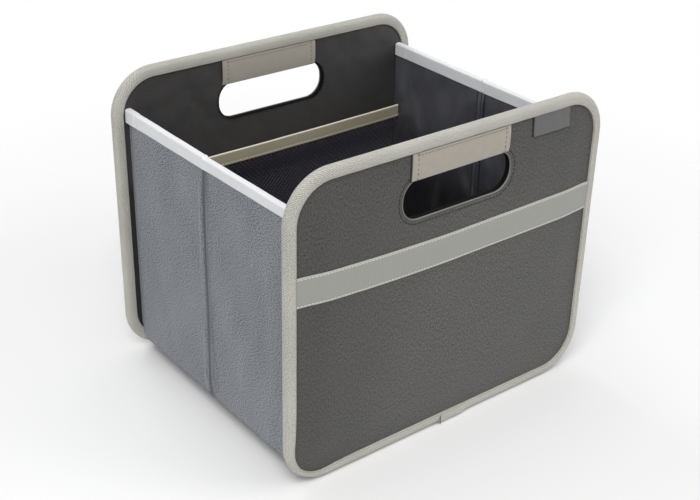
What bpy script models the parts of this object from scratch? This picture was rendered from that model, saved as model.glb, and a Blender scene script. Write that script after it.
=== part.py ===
"""A folding storage box for a car boot, with two stiff end walls and sides that fold inwards.

The walls are boards between an outer cover and a lining, held round their edges by a folded tape.
Each side is two half panels that meet at a crease, and the floor is two leaves with soft gussets.
The rear wall stands still. X runs along the walls, Y from the front wall to the rear one, and Z up.
"""

import math

import bmesh
import bpy

# Overall size of the open box
BOX_WIDTH = 0.320
BOX_DEPTH = 0.255
BOX_HEIGHT = 0.268
WALL_CORNER_RADIUS = 0.040
CORNER_STEPS = 7

# Layers of fabric and board, and the gap between one layer and the next
LAYER_GAP = 0.0003
COVER_THICKNESS = 0.0008
LINING_THICKNESS = 0.0006
WALL_BOARD_THICKNESS = 0.0030
SIDE_BOARD_THICKNESS = 0.0025
FLOOR_BOARD_THICKNESS = 0.0025

# Tape folded round the edge of each wall
BINDING_FACE = 0.010
BINDING_THICKNESS = 0.0014
BINDING_EDGE_RADIUS = 0.0026
BINDING_EDGE_STEPS = 3

# Hand slot in each wall and the soft wrap on the bar above it
SLOT_WIDTH = 0.113
SLOT_BOTTOM = 0.203
SLOT_TOP = 0.2375
SLOT_CORNER_RADIUS = 0.016
SLOT_CORNER_STEPS = 5
SLOT_RIM_THICKNESS = 0.0006
SLOT_RIM_PROUD = 0.0002
WRAP_WIDTH = 0.099
WRAP_THICKNESS = 0.0012
WRAP_LIP = 0.0012
WRAP_BRIDGE_WIDTH = 0.084
WRAP_CORNER_RADIUS = 0.003

# Band and label on the outside of the front wall
BAND_HEIGHT = 0.0248
BAND_CENTRE_HEIGHT = 0.1690
BAND_THICKNESS = 0.0010
LABEL_WIDTH = 0.038
LABEL_HEIGHT = 0.0165
LABEL_THICKNESS = 0.0010
LABEL_CENTRE_X = 0.0985
LABEL_CENTRE_HEIGHT = 0.2487

# Side panels, their top tape and the soft web that joins them to a wall
SIDE_INSET = 0.012
SIDE_BOTTOM = 0.017
SIDE_TOP = 0.236
TAPE_HEIGHT = 0.0125
TAPE_THICKNESS = 0.0012
TAPE_BEND_RADIUS = 0.0016
TAPE_BEND_STEPS = 3
WEB_THICKNESS = 0.0015
MID_AXIS_CLEARANCE = 0.0003
PANEL_END_GAP = 0.0004

# Floor leaves
FLOOR_TOP = 0.023
FOLD_CLEARANCE = 0.0004
LEAF_EDGE_CLEARANCE = 0.0005

# Mesh pocket on the inside of the rear wall
POCKET_SIDE_GAP = 0.0005
POCKET_SHEET_THICKNESS = 0.0006
POCKET_BOTTOM = 0.024
POCKET_BEND_TOP = 0.163
POCKET_STAND_OFF = 0.0060
POCKET_TRIM_BOTTOM = 0.164
POCKET_TRIM_TOP = 0.176
POCKET_TRIM_THICKNESS = 0.0008
POCKET_TRIM_BEND_RADIUS = 0.0012

# Depths below the outermost face of a wall
COVER_DEPTH = BINDING_THICKNESS + LAYER_GAP
WALL_BOARD_DEPTH = COVER_DEPTH + COVER_THICKNESS + LAYER_GAP
LINING_DEPTH = WALL_BOARD_DEPTH + WALL_BOARD_THICKNESS + LAYER_GAP
WALL_FACE_DEPTH = LINING_DEPTH + LINING_THICKNESS
BINDING_DEPTH = WALL_FACE_DEPTH + LAYER_GAP + BINDING_THICKNESS
POCKET_DEPTH = WALL_FACE_DEPTH + LAYER_GAP
POCKET_TRIM_DEPTH = POCKET_DEPTH + POCKET_STAND_OFF - LAYER_GAP - POCKET_TRIM_THICKNESS
POCKET_TRIM_WIDTH = POCKET_SHEET_THICKNESS + 2 * (LAYER_GAP + POCKET_TRIM_THICKNESS)

# Thickness of the side panels and floor leaves
SIDE_STACK = COVER_THICKNESS + LINING_THICKNESS + SIDE_BOARD_THICKNESS + 2 * LAYER_GAP
FLOOR_STACK = COVER_THICKNESS + LINING_THICKNESS + FLOOR_BOARD_THICKNESS + 2 * LAYER_GAP
TAPE_PROUD = LAYER_GAP + TAPE_THICKNESS

# Hinge axes: a folded leaf and the pocket lie between their wall and the folded side panels
SIDE_FACE_X = BOX_WIDTH / 2 - SIDE_INSET
CORNER_AXIS_X = SIDE_FACE_X - SIDE_STACK
MID_AXIS_X = SIDE_FACE_X + TAPE_PROUD + MID_AXIS_CLEARANCE
LEAF_AXIS_DEPTH = BINDING_DEPTH + LAYER_GAP
LEAF_AXIS_Y = BOX_DEPTH / 2 - LEAF_AXIS_DEPTH
CORNER_AXIS_DEPTH = FOLD_CLEARANCE + max(
    LEAF_AXIS_DEPTH + FLOOR_STACK, POCKET_TRIM_DEPTH + POCKET_TRIM_WIDTH
)
CORNER_AXIS_Y = BOX_DEPTH / 2 - CORNER_AXIS_DEPTH
SHEET_INSET = BINDING_THICKNESS + LAYER_GAP
POCKET_HALF_WIDTH = CORNER_AXIS_X - POCKET_SIDE_GAP

# The net leans out only above the tip of the folded floor leaf
POCKET_BEND_BOTTOM = FLOOR_TOP + LEAF_AXIS_Y

REAR = 1
FRONT = -1
LEFT = -1
RIGHT = 1
END_NAMES = {REAR: "rear", FRONT: "front"}
SIDE_NAMES = {LEFT: "left", RIGHT: "right"}

# Local x, y and z of a flat outline turned to a wall, to a side panel or left in the floor's plane
ON_WALL = (math.pi / 2, 0.0, 0.0)
ON_SIDE = (math.pi / 2, 0.0, math.pi / 2)
ON_FLOOR = (0.0, 0.0, 0.0)


def clear_scene():
    """Takes every object out of the open scene."""
    for old in list(bpy.data.objects):
        bpy.data.objects.remove(old, do_unlink=True)


def new_collection(name):
    """A new collection in the scene."""
    made = bpy.data.collections.new(name)
    bpy.context.scene.collection.children.link(made)
    return made


def new_material(name, colour, roughness):
    """A plain Principled material of a colour and roughness."""
    made = bpy.data.materials.new(name)
    made.use_nodes = True
    shader = made.node_tree.nodes["Principled BSDF"]
    shader.inputs["Base Color"].default_value = (*colour, 1.0)
    shader.inputs["Roughness"].default_value = roughness
    shader.inputs["Metallic"].default_value = 0.0
    return made


def arc(centre, radius, start, end, steps):
    """Points on an arc, both ends included, with angles in degrees."""
    points = []
    for step in range(steps + 1):
        angle = math.radians(start + (end - start) * step / steps)
        points.append((centre[0] + radius * math.cos(angle), centre[1] + radius * math.sin(angle)))
    return points


def rounded_rectangle(left, right, bottom, top, radius, steps):
    """Outline of a rectangle with round corners, anticlockwise from the lower right one."""
    points = []
    points += arc((right - radius, bottom + radius), radius, -90, 0, steps)
    points += arc((right - radius, top - radius), radius, 0, 90, steps)
    points += arc((left + radius, top - radius), radius, 90, 180, steps)
    points += arc((left + radius, bottom + radius), radius, 180, 270, steps)
    return points


def rectangle(left, right, bottom, top):
    """Outline of a rectangle, anticlockwise."""
    return [(left, bottom), (right, bottom), (right, top), (left, top)]


def wall_outline(inset):
    """Outline of a wall, drawn in from its outer edge by an inset."""
    half = BOX_WIDTH / 2 - inset
    radius = WALL_CORNER_RADIUS - inset
    return rounded_rectangle(-half, half, inset, BOX_HEIGHT - inset, radius, CORNER_STEPS)


def slot_outline(growth):
    """Outline of the hand slot, grown on all sides."""
    half = SLOT_WIDTH / 2 + growth
    radius = SLOT_CORNER_RADIUS + growth
    return rounded_rectangle(
        -half, half, SLOT_BOTTOM - growth, SLOT_TOP + growth, radius, SLOT_CORNER_STEPS
    )


def u_section(width, depth, wall, bend):
    """Section of a tape folded over an edge: the fold lies on y = 0 and two legs reach down."""
    half = width / 2
    inner = half - wall
    points = [
        (-half, -depth),
        (-inner, -depth),
        (-inner, -wall),
        (inner, -wall),
        (inner, -depth),
        (half, -depth),
    ]
    points += arc((half - bend, -bend), bend, 0, 90, TAPE_BEND_STEPS)
    points += arc((bend - half, -bend), bend, 90, 180, TAPE_BEND_STEPS)
    return points


def outline_curve(name, outlines, thickness):
    """Flat curve object with one outline and any holes, extruded to a thickness."""
    curve = bpy.data.curves.new(name, "CURVE")
    curve.dimensions = "2D"
    curve.fill_mode = "BOTH"
    curve.extrude = thickness / 2
    for outline in outlines:
        spline = curve.splines.new("POLY")
        spline.points.add(len(outline) - 1)
        for point, (x, y) in zip(spline.points, outline):
            point.co = (x, y, 0.0, 1.0)
        spline.use_cyclic_u = True
    return bpy.data.objects.new(name, curve)


def add_piece(made, collection, carrier, material, location, rotation):
    """Puts a piece in the collection under the empty that carries it.

    The location is in the box's own frame, and the carrier is unturned, so it is taken off.
    """
    collection.objects.link(made)
    made.data.materials.clear()
    made.data.materials.append(material)
    made.parent = carrier
    made.location = [here - there for here, there in zip(location, axis_place(carrier))]
    made.rotation_euler = rotation
    return made


def axis_place(carrier):
    """Place of an empty in the box's frame, added up over the empties above it."""
    place = [0.0, 0.0, 0.0]
    while carrier is not None:
        place = [so_far + more for so_far, more in zip(place, carrier.location)]
        carrier = carrier.parent
    return place


def hinge_empty(name, collection, parent, place):
    """Empty on a hinge's axis, which carries everything beyond that hinge."""
    made = bpy.data.objects.new(name, None)
    made.empty_display_type = "SINGLE_ARROW"
    made.empty_display_size = 0.03
    collection.objects.link(made)
    made.parent = parent
    made.location = [here - there for here, there in zip(place, axis_place(parent))]
    return made


def mesh_from_curve(made):
    """Mesh object of a curve object's surface, with its caps welded on. The curve is removed."""
    name = made.name
    made.name = name + "_curve"
    collection = made.users_collection[0]
    bpy.context.view_layer.update()
    graph = bpy.context.evaluated_depsgraph_get()
    mesh = bpy.data.meshes.new_from_object(made.evaluated_get(graph))
    shell = bmesh.new()
    shell.from_mesh(mesh)
    bmesh.ops.remove_doubles(shell, verts=shell.verts, dist=1e-6)
    bmesh.ops.recalc_face_normals(shell, faces=shell.faces)
    shell.to_mesh(mesh)
    shell.free()
    solid = bpy.data.objects.new(name, mesh)
    collection.objects.link(solid)
    solid.parent = made.parent
    solid.location = made.location
    solid.rotation_euler = made.rotation_euler
    bpy.data.objects.remove(made, do_unlink=True)
    return solid


def join_in(target, helper, operation="UNION"):
    """Boolean modifier on the target with a helper that isn't rendered."""
    helper.hide_render = True
    helper.display_type = "WIRE"
    modifier = target.modifiers.new(helper.name, "BOOLEAN")
    modifier.operation = operation
    modifier.solver = "EXACT"
    modifier.object = helper


class Wall:
    """One end wall: board, cover, lining, edge binding, hand slot and grip wrap."""

    def __init__(self, end, carrier, pieces, helpers, finishes):
        self.end = end
        self.name = END_NAMES[end]
        self.carrier = carrier
        self.pieces = pieces
        self.helpers = helpers
        self.finishes = finishes

    def y_at(self, depth):
        """Place along Y of a plane below the wall's outermost face."""
        return self.end * (BOX_DEPTH / 2 - depth)

    def sheet(self, name, outlines, depth, thickness, finish):
        """Flat layer of the wall whose outer face lies at a depth."""
        made = outline_curve(name, outlines, thickness)
        place = (0.0, self.y_at(depth + thickness / 2), 0.0)
        return add_piece(made, self.pieces, self.carrier, self.finishes[finish], place, ON_WALL)

    def build(self):
        """Makes the pieces that both walls have."""
        outline = wall_outline(SHEET_INSET)
        hole = slot_outline(SLOT_RIM_THICKNESS + LAYER_GAP)
        self.sheet(self.name + "_board", [outline, hole], WALL_BOARD_DEPTH, WALL_BOARD_THICKNESS, "board")
        self.sheet(self.name + "_lining", [outline, hole], LINING_DEPTH, LINING_THICKNESS, "lining")
        self.cover(outline)
        self.binding()
        self.grip_wrap()

    def cover(self, outline):
        """Outer cover, turned in through the slot as a thin rim."""
        name = self.name + "_cover"
        sheet_hole = slot_outline(SLOT_RIM_THICKNESS / 2)
        self.sheet(name, [outline, sheet_hole], COVER_DEPTH, COVER_THICKNESS, "outer")
        cover = mesh_from_curve(bpy.data.objects[name])
        rim_depth = COVER_DEPTH - SLOT_RIM_PROUD
        rim_length = WALL_FACE_DEPTH + SLOT_RIM_PROUD - rim_depth
        rim = outline_curve(
            name + "_rim", [slot_outline(SLOT_RIM_THICKNESS), slot_outline(0.0)], rim_length
        )
        place = (0.0, self.y_at(rim_depth + rim_length / 2), 0.0)
        add_piece(rim, self.helpers, self.carrier, self.finishes["outer"], place, ON_WALL)
        join_in(cover, mesh_from_curve(rim))

    def binding(self):
        """Tape folded round the edge, swept along the wall's outline."""
        half = BINDING_DEPTH / 2
        leg = half - BINDING_THICKNESS
        bend = BINDING_EDGE_RADIUS
        section = arc((bend, half - bend), bend, 180, 90, BINDING_EDGE_STEPS)
        section += [(BINDING_FACE, half), (BINDING_FACE, leg), (BINDING_THICKNESS, leg)]
        section += [(x, -y) for x, y in reversed(section)]
        profile = outline_curve(self.name + "_binding_section", [section], 0.0)
        profile.data.fill_mode = "NONE"
        profile.hide_render = True
        profile.display_type = "WIRE"
        self.helpers.objects.link(profile)
        path = outline_curve(self.name + "_binding", [wall_outline(0.0)], 0.0)
        path.data.fill_mode = "NONE"
        path.data.bevel_mode = "OBJECT"
        path.data.bevel_object = profile
        place = (0.0, self.y_at(BINDING_DEPTH / 2), 0.0)
        add_piece(path, self.pieces, self.carrier, self.finishes["binding"], place, ON_WALL)

    def grip_wrap(self):
        """Soft wrap on both faces of the bar above the slot, joined under the bar by a bridge."""
        top = BOX_HEIGHT - BINDING_FACE - LAYER_GAP
        under = SLOT_TOP - SLOT_RIM_THICKNESS - LAYER_GAP - WRAP_LIP
        half = WRAP_WIDTH / 2
        leaf = rounded_rectangle(-half, half, under, top, WRAP_CORNER_RADIUS, 2)
        outer_depth = COVER_DEPTH - LAYER_GAP - WRAP_THICKNESS
        inner_depth = WALL_FACE_DEPTH + LAYER_GAP
        name = self.name + "_grip_wrap"
        self.sheet(name, [leaf], outer_depth, WRAP_THICKNESS, "grip")
        wrap = mesh_from_curve(bpy.data.objects[name])
        bridge_half = WRAP_BRIDGE_WIDTH / 2
        across = inner_depth + WRAP_THICKNESS / 2 - outer_depth - WRAP_THICKNESS / 2
        bridge = rectangle(-bridge_half, bridge_half, under, under + WRAP_LIP)
        shapes = [
            (name + "_inner", leaf, inner_depth, WRAP_THICKNESS),
            (name + "_bridge", bridge, outer_depth + WRAP_THICKNESS / 2, across),
        ]
        for helper_name, outline, depth, thickness in shapes:
            helper = outline_curve(helper_name, [outline], thickness)
            place = (0.0, self.y_at(depth + thickness / 2), 0.0)
            add_piece(helper, self.helpers, self.carrier, self.finishes["grip"], place, ON_WALL)
            join_in(wrap, mesh_from_curve(helper))

    def front_trim(self):
        """Band across the wall and bare label, both sewn on the outer cover."""
        half = BOX_WIDTH / 2 - BINDING_FACE - LAYER_GAP
        low = BAND_CENTRE_HEIGHT - BAND_HEIGHT / 2
        band = rectangle(-half, half, low, low + BAND_HEIGHT)
        band_depth = COVER_DEPTH - LAYER_GAP - BAND_THICKNESS
        self.sheet("front_band", [band], band_depth, BAND_THICKNESS, "band")
        left = LABEL_CENTRE_X - LABEL_WIDTH / 2
        low = LABEL_CENTRE_HEIGHT - LABEL_HEIGHT / 2
        label = rectangle(left, left + LABEL_WIDTH, low, low + LABEL_HEIGHT)
        label_depth = COVER_DEPTH - LAYER_GAP - LABEL_THICKNESS
        self.sheet("front_label", [label], label_depth, LABEL_THICKNESS, "label")

    def mesh_pocket(self):
        """Net on the inside face that stands off towards its top, where a folded trim holds it."""
        near = POCKET_DEPTH
        off = near + POCKET_STAND_OFF
        thick = POCKET_SHEET_THICKNESS
        sheet_top = POCKET_TRIM_TOP - POCKET_TRIM_THICKNESS - LAYER_GAP
        side = [
            (near, POCKET_BOTTOM),
            (near, POCKET_BEND_BOTTOM),
            (off, POCKET_BEND_TOP),
            (off, sheet_top),
        ]
        outline = side + [(depth + thick, z) for depth, z in reversed(side)]
        trim_height = POCKET_TRIM_TOP - POCKET_TRIM_BOTTOM
        middle = POCKET_TRIM_DEPTH + POCKET_TRIM_WIDTH / 2
        bend = POCKET_TRIM_BEND_RADIUS
        section = u_section(POCKET_TRIM_WIDTH, trim_height, POCKET_TRIM_THICKNESS, bend)
        fold = [(middle + x, POCKET_TRIM_TOP + y) for x, y in section]
        shapes = [("mesh_pocket", outline, "mesh"), ("pocket_trim", fold, "trim")]
        for name, shape, finish in shapes:
            drawn = [(self.y_at(depth), z) for depth, z in shape]
            made = outline_curve(name, [drawn], 2 * POCKET_HALF_WIDTH)
            origin = (0.0, 0.0, 0.0)
            add_piece(made, self.pieces, self.carrier, self.finishes[finish], origin, ON_SIDE)


class HalfPanel:
    """Half of one side: board, cover, lining and top tape, with the web that joins it to its wall."""

    def __init__(self, side, end, pieces, finishes):
        self.side = side
        self.end = end
        self.name = SIDE_NAMES[side] + "_" + END_NAMES[end]
        self.pieces = pieces
        self.finishes = finishes

    def x_at(self, depth):
        """Place along X of a plane below the side's outer face."""
        return self.side * (SIDE_FACE_X - depth)

    def build(self, carrier, wall_carrier):
        """Makes the panel under its own hinge, and the web under its wall."""
        near = PANEL_END_GAP
        far = CORNER_AXIS_Y - PANEL_END_GAP
        ends = sorted((self.end * near, self.end * far))
        sheet_top = SIDE_TOP - TAPE_PROUD
        outline = rectangle(ends[0], ends[1], SIDE_BOTTOM, sheet_top)
        board_depth = COVER_THICKNESS + LAYER_GAP
        lining_depth = board_depth + SIDE_BOARD_THICKNESS + LAYER_GAP
        layers = [
            ("_cover", 0.0, COVER_THICKNESS, "side"),
            ("_board", board_depth, SIDE_BOARD_THICKNESS, "board"),
            ("_lining", lining_depth, LINING_THICKNESS, "lining"),
        ]
        for ending, depth, thickness, finish in layers:
            made = outline_curve(self.name + ending, [outline], thickness)
            place = (self.x_at(depth + thickness / 2), 0.0, 0.0)
            add_piece(made, self.pieces, carrier, self.finishes[finish], place, ON_SIDE)
        self.top_tape(carrier, far - near, self.end * (near + far) / 2)
        self.web(wall_carrier)

    def top_tape(self, carrier, length, middle):
        """Tape folded over the top edge of the half panel."""
        width = SIDE_STACK + 2 * TAPE_PROUD
        section = u_section(width, TAPE_HEIGHT, TAPE_THICKNESS, TAPE_BEND_RADIUS)
        made = outline_curve(self.name + "_tape", [section], length)
        place = (self.x_at(SIDE_STACK / 2), middle, SIDE_TOP)
        add_piece(made, self.pieces, carrier, self.finishes["tape"], place, ON_WALL)

    def web_bottom(self):
        """Height above which the web clears the binding's round inner corner."""
        outermost = SIDE_FACE_X - SIDE_STACK / 2 + WEB_THICKNESS / 2
        across = outermost - (BOX_WIDTH / 2 - WALL_CORNER_RADIUS)
        inner_radius = WALL_CORNER_RADIUS - BINDING_FACE
        drop = math.sqrt(max(inner_radius**2 - across**2, 0.0))
        return max(SIDE_BOTTOM, WALL_CORNER_RADIUS - drop + LAYER_GAP)

    def web(self, wall_carrier):
        """Strip of cover and lining sewn together, from the wall to just short of the panel."""
        start = CORNER_AXIS_Y - PANEL_END_GAP + LAYER_GAP
        finish = BOX_DEPTH / 2 - WALL_FACE_DEPTH - LAYER_GAP
        ends = sorted((self.end * start, self.end * finish))
        outline = rectangle(ends[0], ends[1], self.web_bottom(), SIDE_TOP)
        made = outline_curve(self.name + "_web", [outline], WEB_THICKNESS)
        place = (self.x_at(SIDE_STACK / 2), 0.0, 0.0)
        add_piece(made, self.pieces, wall_carrier, self.finishes["side"], place, ON_SIDE)


class FloorLeaf:
    """Half of the floor: a board between two sheets, and a soft gusset on each slanted edge."""

    def __init__(self, end, carrier, pieces, finishes):
        self.end = end
        self.name = "floor_" + END_NAMES[end]
        self.carrier = carrier
        self.pieces = pieces
        self.finishes = finishes

    def sheet(self, name, outline, top, thickness, finish):
        """Flat layer of the leaf below a height."""
        made = outline_curve(name, [outline], thickness)
        place = (0.0, 0.0, top - thickness / 2)
        add_piece(made, self.pieces, self.carrier, self.finishes[finish], place, ON_FLOOR)

    def build(self):
        """Makes the leaf and its gussets."""
        near = PANEL_END_GAP
        far = LEAF_AXIS_Y - LAYER_GAP
        wide = CORNER_AXIS_X - LEAF_EDGE_CLEARANCE - LAYER_GAP
        narrow = wide - (far - near)
        leaf = [
            (-wide, self.end * far),
            (wide, self.end * far),
            (narrow, self.end * near),
            (-narrow, self.end * near),
        ]
        board_top = FLOOR_TOP - LINING_THICKNESS - LAYER_GAP
        cover_top = board_top - FLOOR_BOARD_THICKNESS - LAYER_GAP
        self.sheet(self.name + "_lining", leaf, FLOOR_TOP, LINING_THICKNESS, "lining")
        self.sheet(self.name + "_board", leaf, board_top, FLOOR_BOARD_THICKNESS, "board")
        self.sheet(self.name + "_cover", leaf, cover_top, COVER_THICKNESS, "outer")
        slant_gap = LAYER_GAP * math.sqrt(2)
        corner = far - slant_gap
        for side in (LEFT, RIGHT):
            gusset = [
                (side * wide, self.end * corner),
                (side * wide, self.end * near),
                (side * (wide - (corner - near)), self.end * near),
            ]
            name = "gusset_" + SIDE_NAMES[side] + "_" + END_NAMES[self.end]
            self.sheet(name, gusset, FLOOR_TOP, LINING_THICKNESS, "lining")


def make_finishes():
    """The plain colours of the pieces, by a short name."""
    return {
        "outer": new_material("outer_fabric", (0.115, 0.115, 0.105), 0.85),
        "side": new_material("side_fabric", (0.190, 0.205, 0.220), 0.80),
        "lining": new_material("lining_fabric", (0.030, 0.029, 0.028), 0.55),
        "binding": new_material("edge_binding", (0.560, 0.560, 0.510), 0.75),
        "tape": new_material("side_tape", (0.730, 0.750, 0.760), 0.70),
        "grip": new_material("grip_microfibre", (0.430, 0.390, 0.330), 0.90),
        "band": new_material("band_webbing", (0.370, 0.370, 0.350), 0.70),
        "label": new_material("label_cloth", (0.300, 0.300, 0.290), 0.70),
        "mesh": new_material("pocket_net", (0.012, 0.012, 0.016), 0.60),
        "trim": new_material("pocket_trim_tape", (0.200, 0.185, 0.145), 0.80),
        "board": new_material("stiff_board", (0.250, 0.240, 0.220), 0.70),
    }


def main():
    """Builds the open box."""
    clear_scene()
    pieces = new_collection("folding_box")
    helpers = new_collection("folding_box_helpers")
    finishes = make_finishes()

    panel_hinges = {}
    for side in (LEFT, RIGHT):
        corner = (side * CORNER_AXIS_X, CORNER_AXIS_Y, 0.0)
        name = SIDE_NAMES[side]
        rear_hinge = hinge_empty(name + "_rear_hinge", pieces, None, corner)
        middle = (side * MID_AXIS_X, 0.0, 0.0)
        mid_hinge = hinge_empty(name + "_mid_hinge", pieces, rear_hinge, middle)
        panel_hinges[side, REAR] = rear_hinge
        panel_hinges[side, FRONT] = mid_hinge

    front_corner = (LEFT * CORNER_AXIS_X, -CORNER_AXIS_Y, 0.0)
    front_hinge = hinge_empty("left_front_hinge", pieces, panel_hinges[LEFT, FRONT], front_corner)
    wall_carriers = {REAR: None, FRONT: front_hinge}
    for end in (REAR, FRONT):
        wall = Wall(end, wall_carriers[end], pieces, helpers, finishes)
        wall.build()
        if end == FRONT:
            wall.front_trim()
        else:
            wall.mesh_pocket()
        for side in (LEFT, RIGHT):
            panel = HalfPanel(side, end, pieces, finishes)
            panel.build(panel_hinges[side, end], wall_carriers[end])
        leaf_place = (0.0, end * LEAF_AXIS_Y, FLOOR_TOP)
        leaf_name = "floor_" + END_NAMES[end] + "_hinge"
        leaf_hinge = hinge_empty(leaf_name, pieces, wall_carriers[end], leaf_place)
        FloorLeaf(end, leaf_hinge, pieces, finishes).build()


main()
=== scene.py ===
"""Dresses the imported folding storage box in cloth, tape, stitches and net, and lights it in a studio.

Every length is in metres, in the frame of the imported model: X runs along the two walls, the front wall
faces -Y, the rear wall stands at +Y, and Z points up from the surface that the box stands on.
"""

import logging
import math
from dataclasses import dataclass
from enum import Enum
from typing import Iterable, Optional, Sequence, Union

import bpy
import numpy as np
from mathutils import Matrix, Vector


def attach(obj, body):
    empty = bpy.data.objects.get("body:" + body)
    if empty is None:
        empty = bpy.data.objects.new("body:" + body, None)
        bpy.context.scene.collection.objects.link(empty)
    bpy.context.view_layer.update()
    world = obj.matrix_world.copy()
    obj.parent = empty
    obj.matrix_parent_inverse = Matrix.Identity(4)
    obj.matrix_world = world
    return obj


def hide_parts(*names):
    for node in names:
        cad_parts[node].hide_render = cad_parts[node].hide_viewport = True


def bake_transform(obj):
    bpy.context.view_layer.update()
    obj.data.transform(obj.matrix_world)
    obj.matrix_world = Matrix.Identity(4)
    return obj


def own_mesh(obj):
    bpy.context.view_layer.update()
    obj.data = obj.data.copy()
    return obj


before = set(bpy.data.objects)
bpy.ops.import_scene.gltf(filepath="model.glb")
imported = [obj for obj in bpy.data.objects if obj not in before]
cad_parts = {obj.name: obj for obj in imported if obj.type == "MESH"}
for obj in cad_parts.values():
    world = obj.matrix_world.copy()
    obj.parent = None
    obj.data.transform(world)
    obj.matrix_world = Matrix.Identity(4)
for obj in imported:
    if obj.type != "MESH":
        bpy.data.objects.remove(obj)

LOG = logging.getLogger("folding_box")
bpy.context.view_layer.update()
CLOTH_MAP = "cloth"

Pair = tuple[float, float]
Triple = tuple[float, float, float]
Colour = tuple[float, float, float, float]
Number = Union[float, np.ndarray]
Piece = bpy.types.Object
Material = bpy.types.Material


class Named(Enum):
    """A choice whose name is a part of the names of bodies and nodes."""

    @property
    def word(self) -> str:
        """The name as bodies and nodes have it."""
        return self.name.lower()


class End(Named):
    """The two walls, each with the sign of its place along Y."""

    REAR = 1
    FRONT = -1


class Side(Named):
    """The two folding sides, each with the sign of its place along X."""

    LEFT = -1
    RIGHT = 1


class Hold(Enum):
    """How a sheet of cloth is held."""

    STRETCHED = "stretched"
    FOLDED = "folded"
    LAID = "laid"


def linear(red: float, green: float, blue: float) -> Colour:
    """Scene colour of an 8-bit display colour.

    Args:
        red: Red from 0 to 255.
        green: Green from 0 to 255.
        blue: Blue from 0 to 255.

    Returns:
        The linear colour with an alpha of 1.
    """
    shares = (red / 255, green / 255, blue / 255)
    levels = [s / 12.92 if s <= 0.04045 else ((s + 0.055) / 1.055) ** 2.4 for s in shares]
    return (levels[0], levels[1], levels[2], 1.0)


def scaled(colour: Sequence[float], by: float) -> Colour:
    """The colour made lighter or darker by a factor."""
    return (colour[0] * by, colour[1] * by, colour[2] * by, 1.0)


def ease(value: Number, low: float, high: float) -> np.ndarray:
    """Smooth rise of a value from 0 at low to 1 at high, or down when high is the smaller one."""
    share = np.clip((np.asarray(value, float) - low) / (high - low), 0.0, 1.0)
    return share * share * (3 - 2 * share)


def hump(value: np.ndarray, middle: float, width: float) -> np.ndarray:
    """Smooth hump of height 1 at the middle, which the width away is e times lower."""
    return np.exp(-(((value - middle) / width) ** 2))


def distances(points: np.ndarray) -> np.ndarray:
    """Distance along a line of points from its start to each of them."""
    return np.concatenate([[0.0], np.cumsum(np.linalg.norm(np.diff(points, axis=0), axis=1))])


def grid(first: np.ndarray, second: np.ndarray) -> np.ndarray:
    """Rows of pairs: the first numbers change along a row, the second from row to row."""
    return np.stack(np.broadcast_arrays(first[None, :], second[:, None]), -1)


def facing(x: float, y: float, z: float) -> np.ndarray:
    """Direction that a sheet faces."""
    return np.array([x, y, z], float)


def placed(name: str, data: bpy.types.ID) -> Piece:
    """Links a mesh, lamp or camera as an object at the origin.

    Args:
        name: The object's name.
        data: What the object holds.

    Returns:
        The object.
    """
    made = bpy.data.objects.new(name, data)
    bpy.context.scene.collection.objects.link(made)
    return made


# Node trees


class Wire:
    """An output socket of a node tree. Arithmetic on it adds Math nodes to the tree."""

    def __init__(self, canvas: "Canvas", socket: bpy.types.NodeSocket) -> None:
        """Holds the socket and the canvas that it is on."""
        self.canvas = canvas
        self.socket = socket

    def math(self, operation: str, *operands: Union["Wire", float]) -> "Wire":
        """Adds one Math node with an operation, and its inputs in order."""
        return self.canvas.add("ShaderNodeMath", {"operation": operation}, dict(enumerate(operands)))

    def __add__(self, other: Union["Wire", float]) -> "Wire":
        """This plus the other."""
        return self.math("ADD", self, other)

    def __radd__(self, other: float) -> "Wire":
        """The other plus this."""
        return self.math("ADD", other, self)

    def __sub__(self, other: Union["Wire", float]) -> "Wire":
        """This less the other."""
        return self.math("SUBTRACT", self, other)

    def __rsub__(self, other: float) -> "Wire":
        """The other less this."""
        return self.math("SUBTRACT", other, self)

    def __mul__(self, other: Union["Wire", float]) -> "Wire":
        """This times the other."""
        return self.math("MULTIPLY", self, other)

    def __rmul__(self, other: float) -> "Wire":
        """The other times this."""
        return self.math("MULTIPLY", other, self)

    def __truediv__(self, other: Union["Wire", float]) -> "Wire":
        """This over the other."""
        return self.math("DIVIDE", self, other)

    def __rtruediv__(self, other: float) -> "Wire":
        """The other over this."""
        return self.math("DIVIDE", other, self)

    def sine(self) -> "Wire":
        """Sine of an angle in radians."""
        return self.math("SINE", self)

    def size(self) -> "Wire":
        """The value without its sign."""
        return self.math("ABSOLUTE", self)

    def larger(self, other: "Wire") -> "Wire":
        """The larger one of this and the other."""
        return self.math("MAXIMUM", self, other)

    def smooth(self, low: float, high: float) -> "Wire":
        """Smooth rise from 0 at low to 1 at high."""
        kind = {"interpolation_type": "SMOOTHSTEP"}
        return self.canvas.add("ShaderNodeMapRange", kind, {"Value": self, "From Min": low, "From Max": high})

    def sibling(self, name: str) -> "Wire":
        """Another output of the same node."""
        return Wire(self.canvas, self.socket.node.outputs[name])


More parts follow.
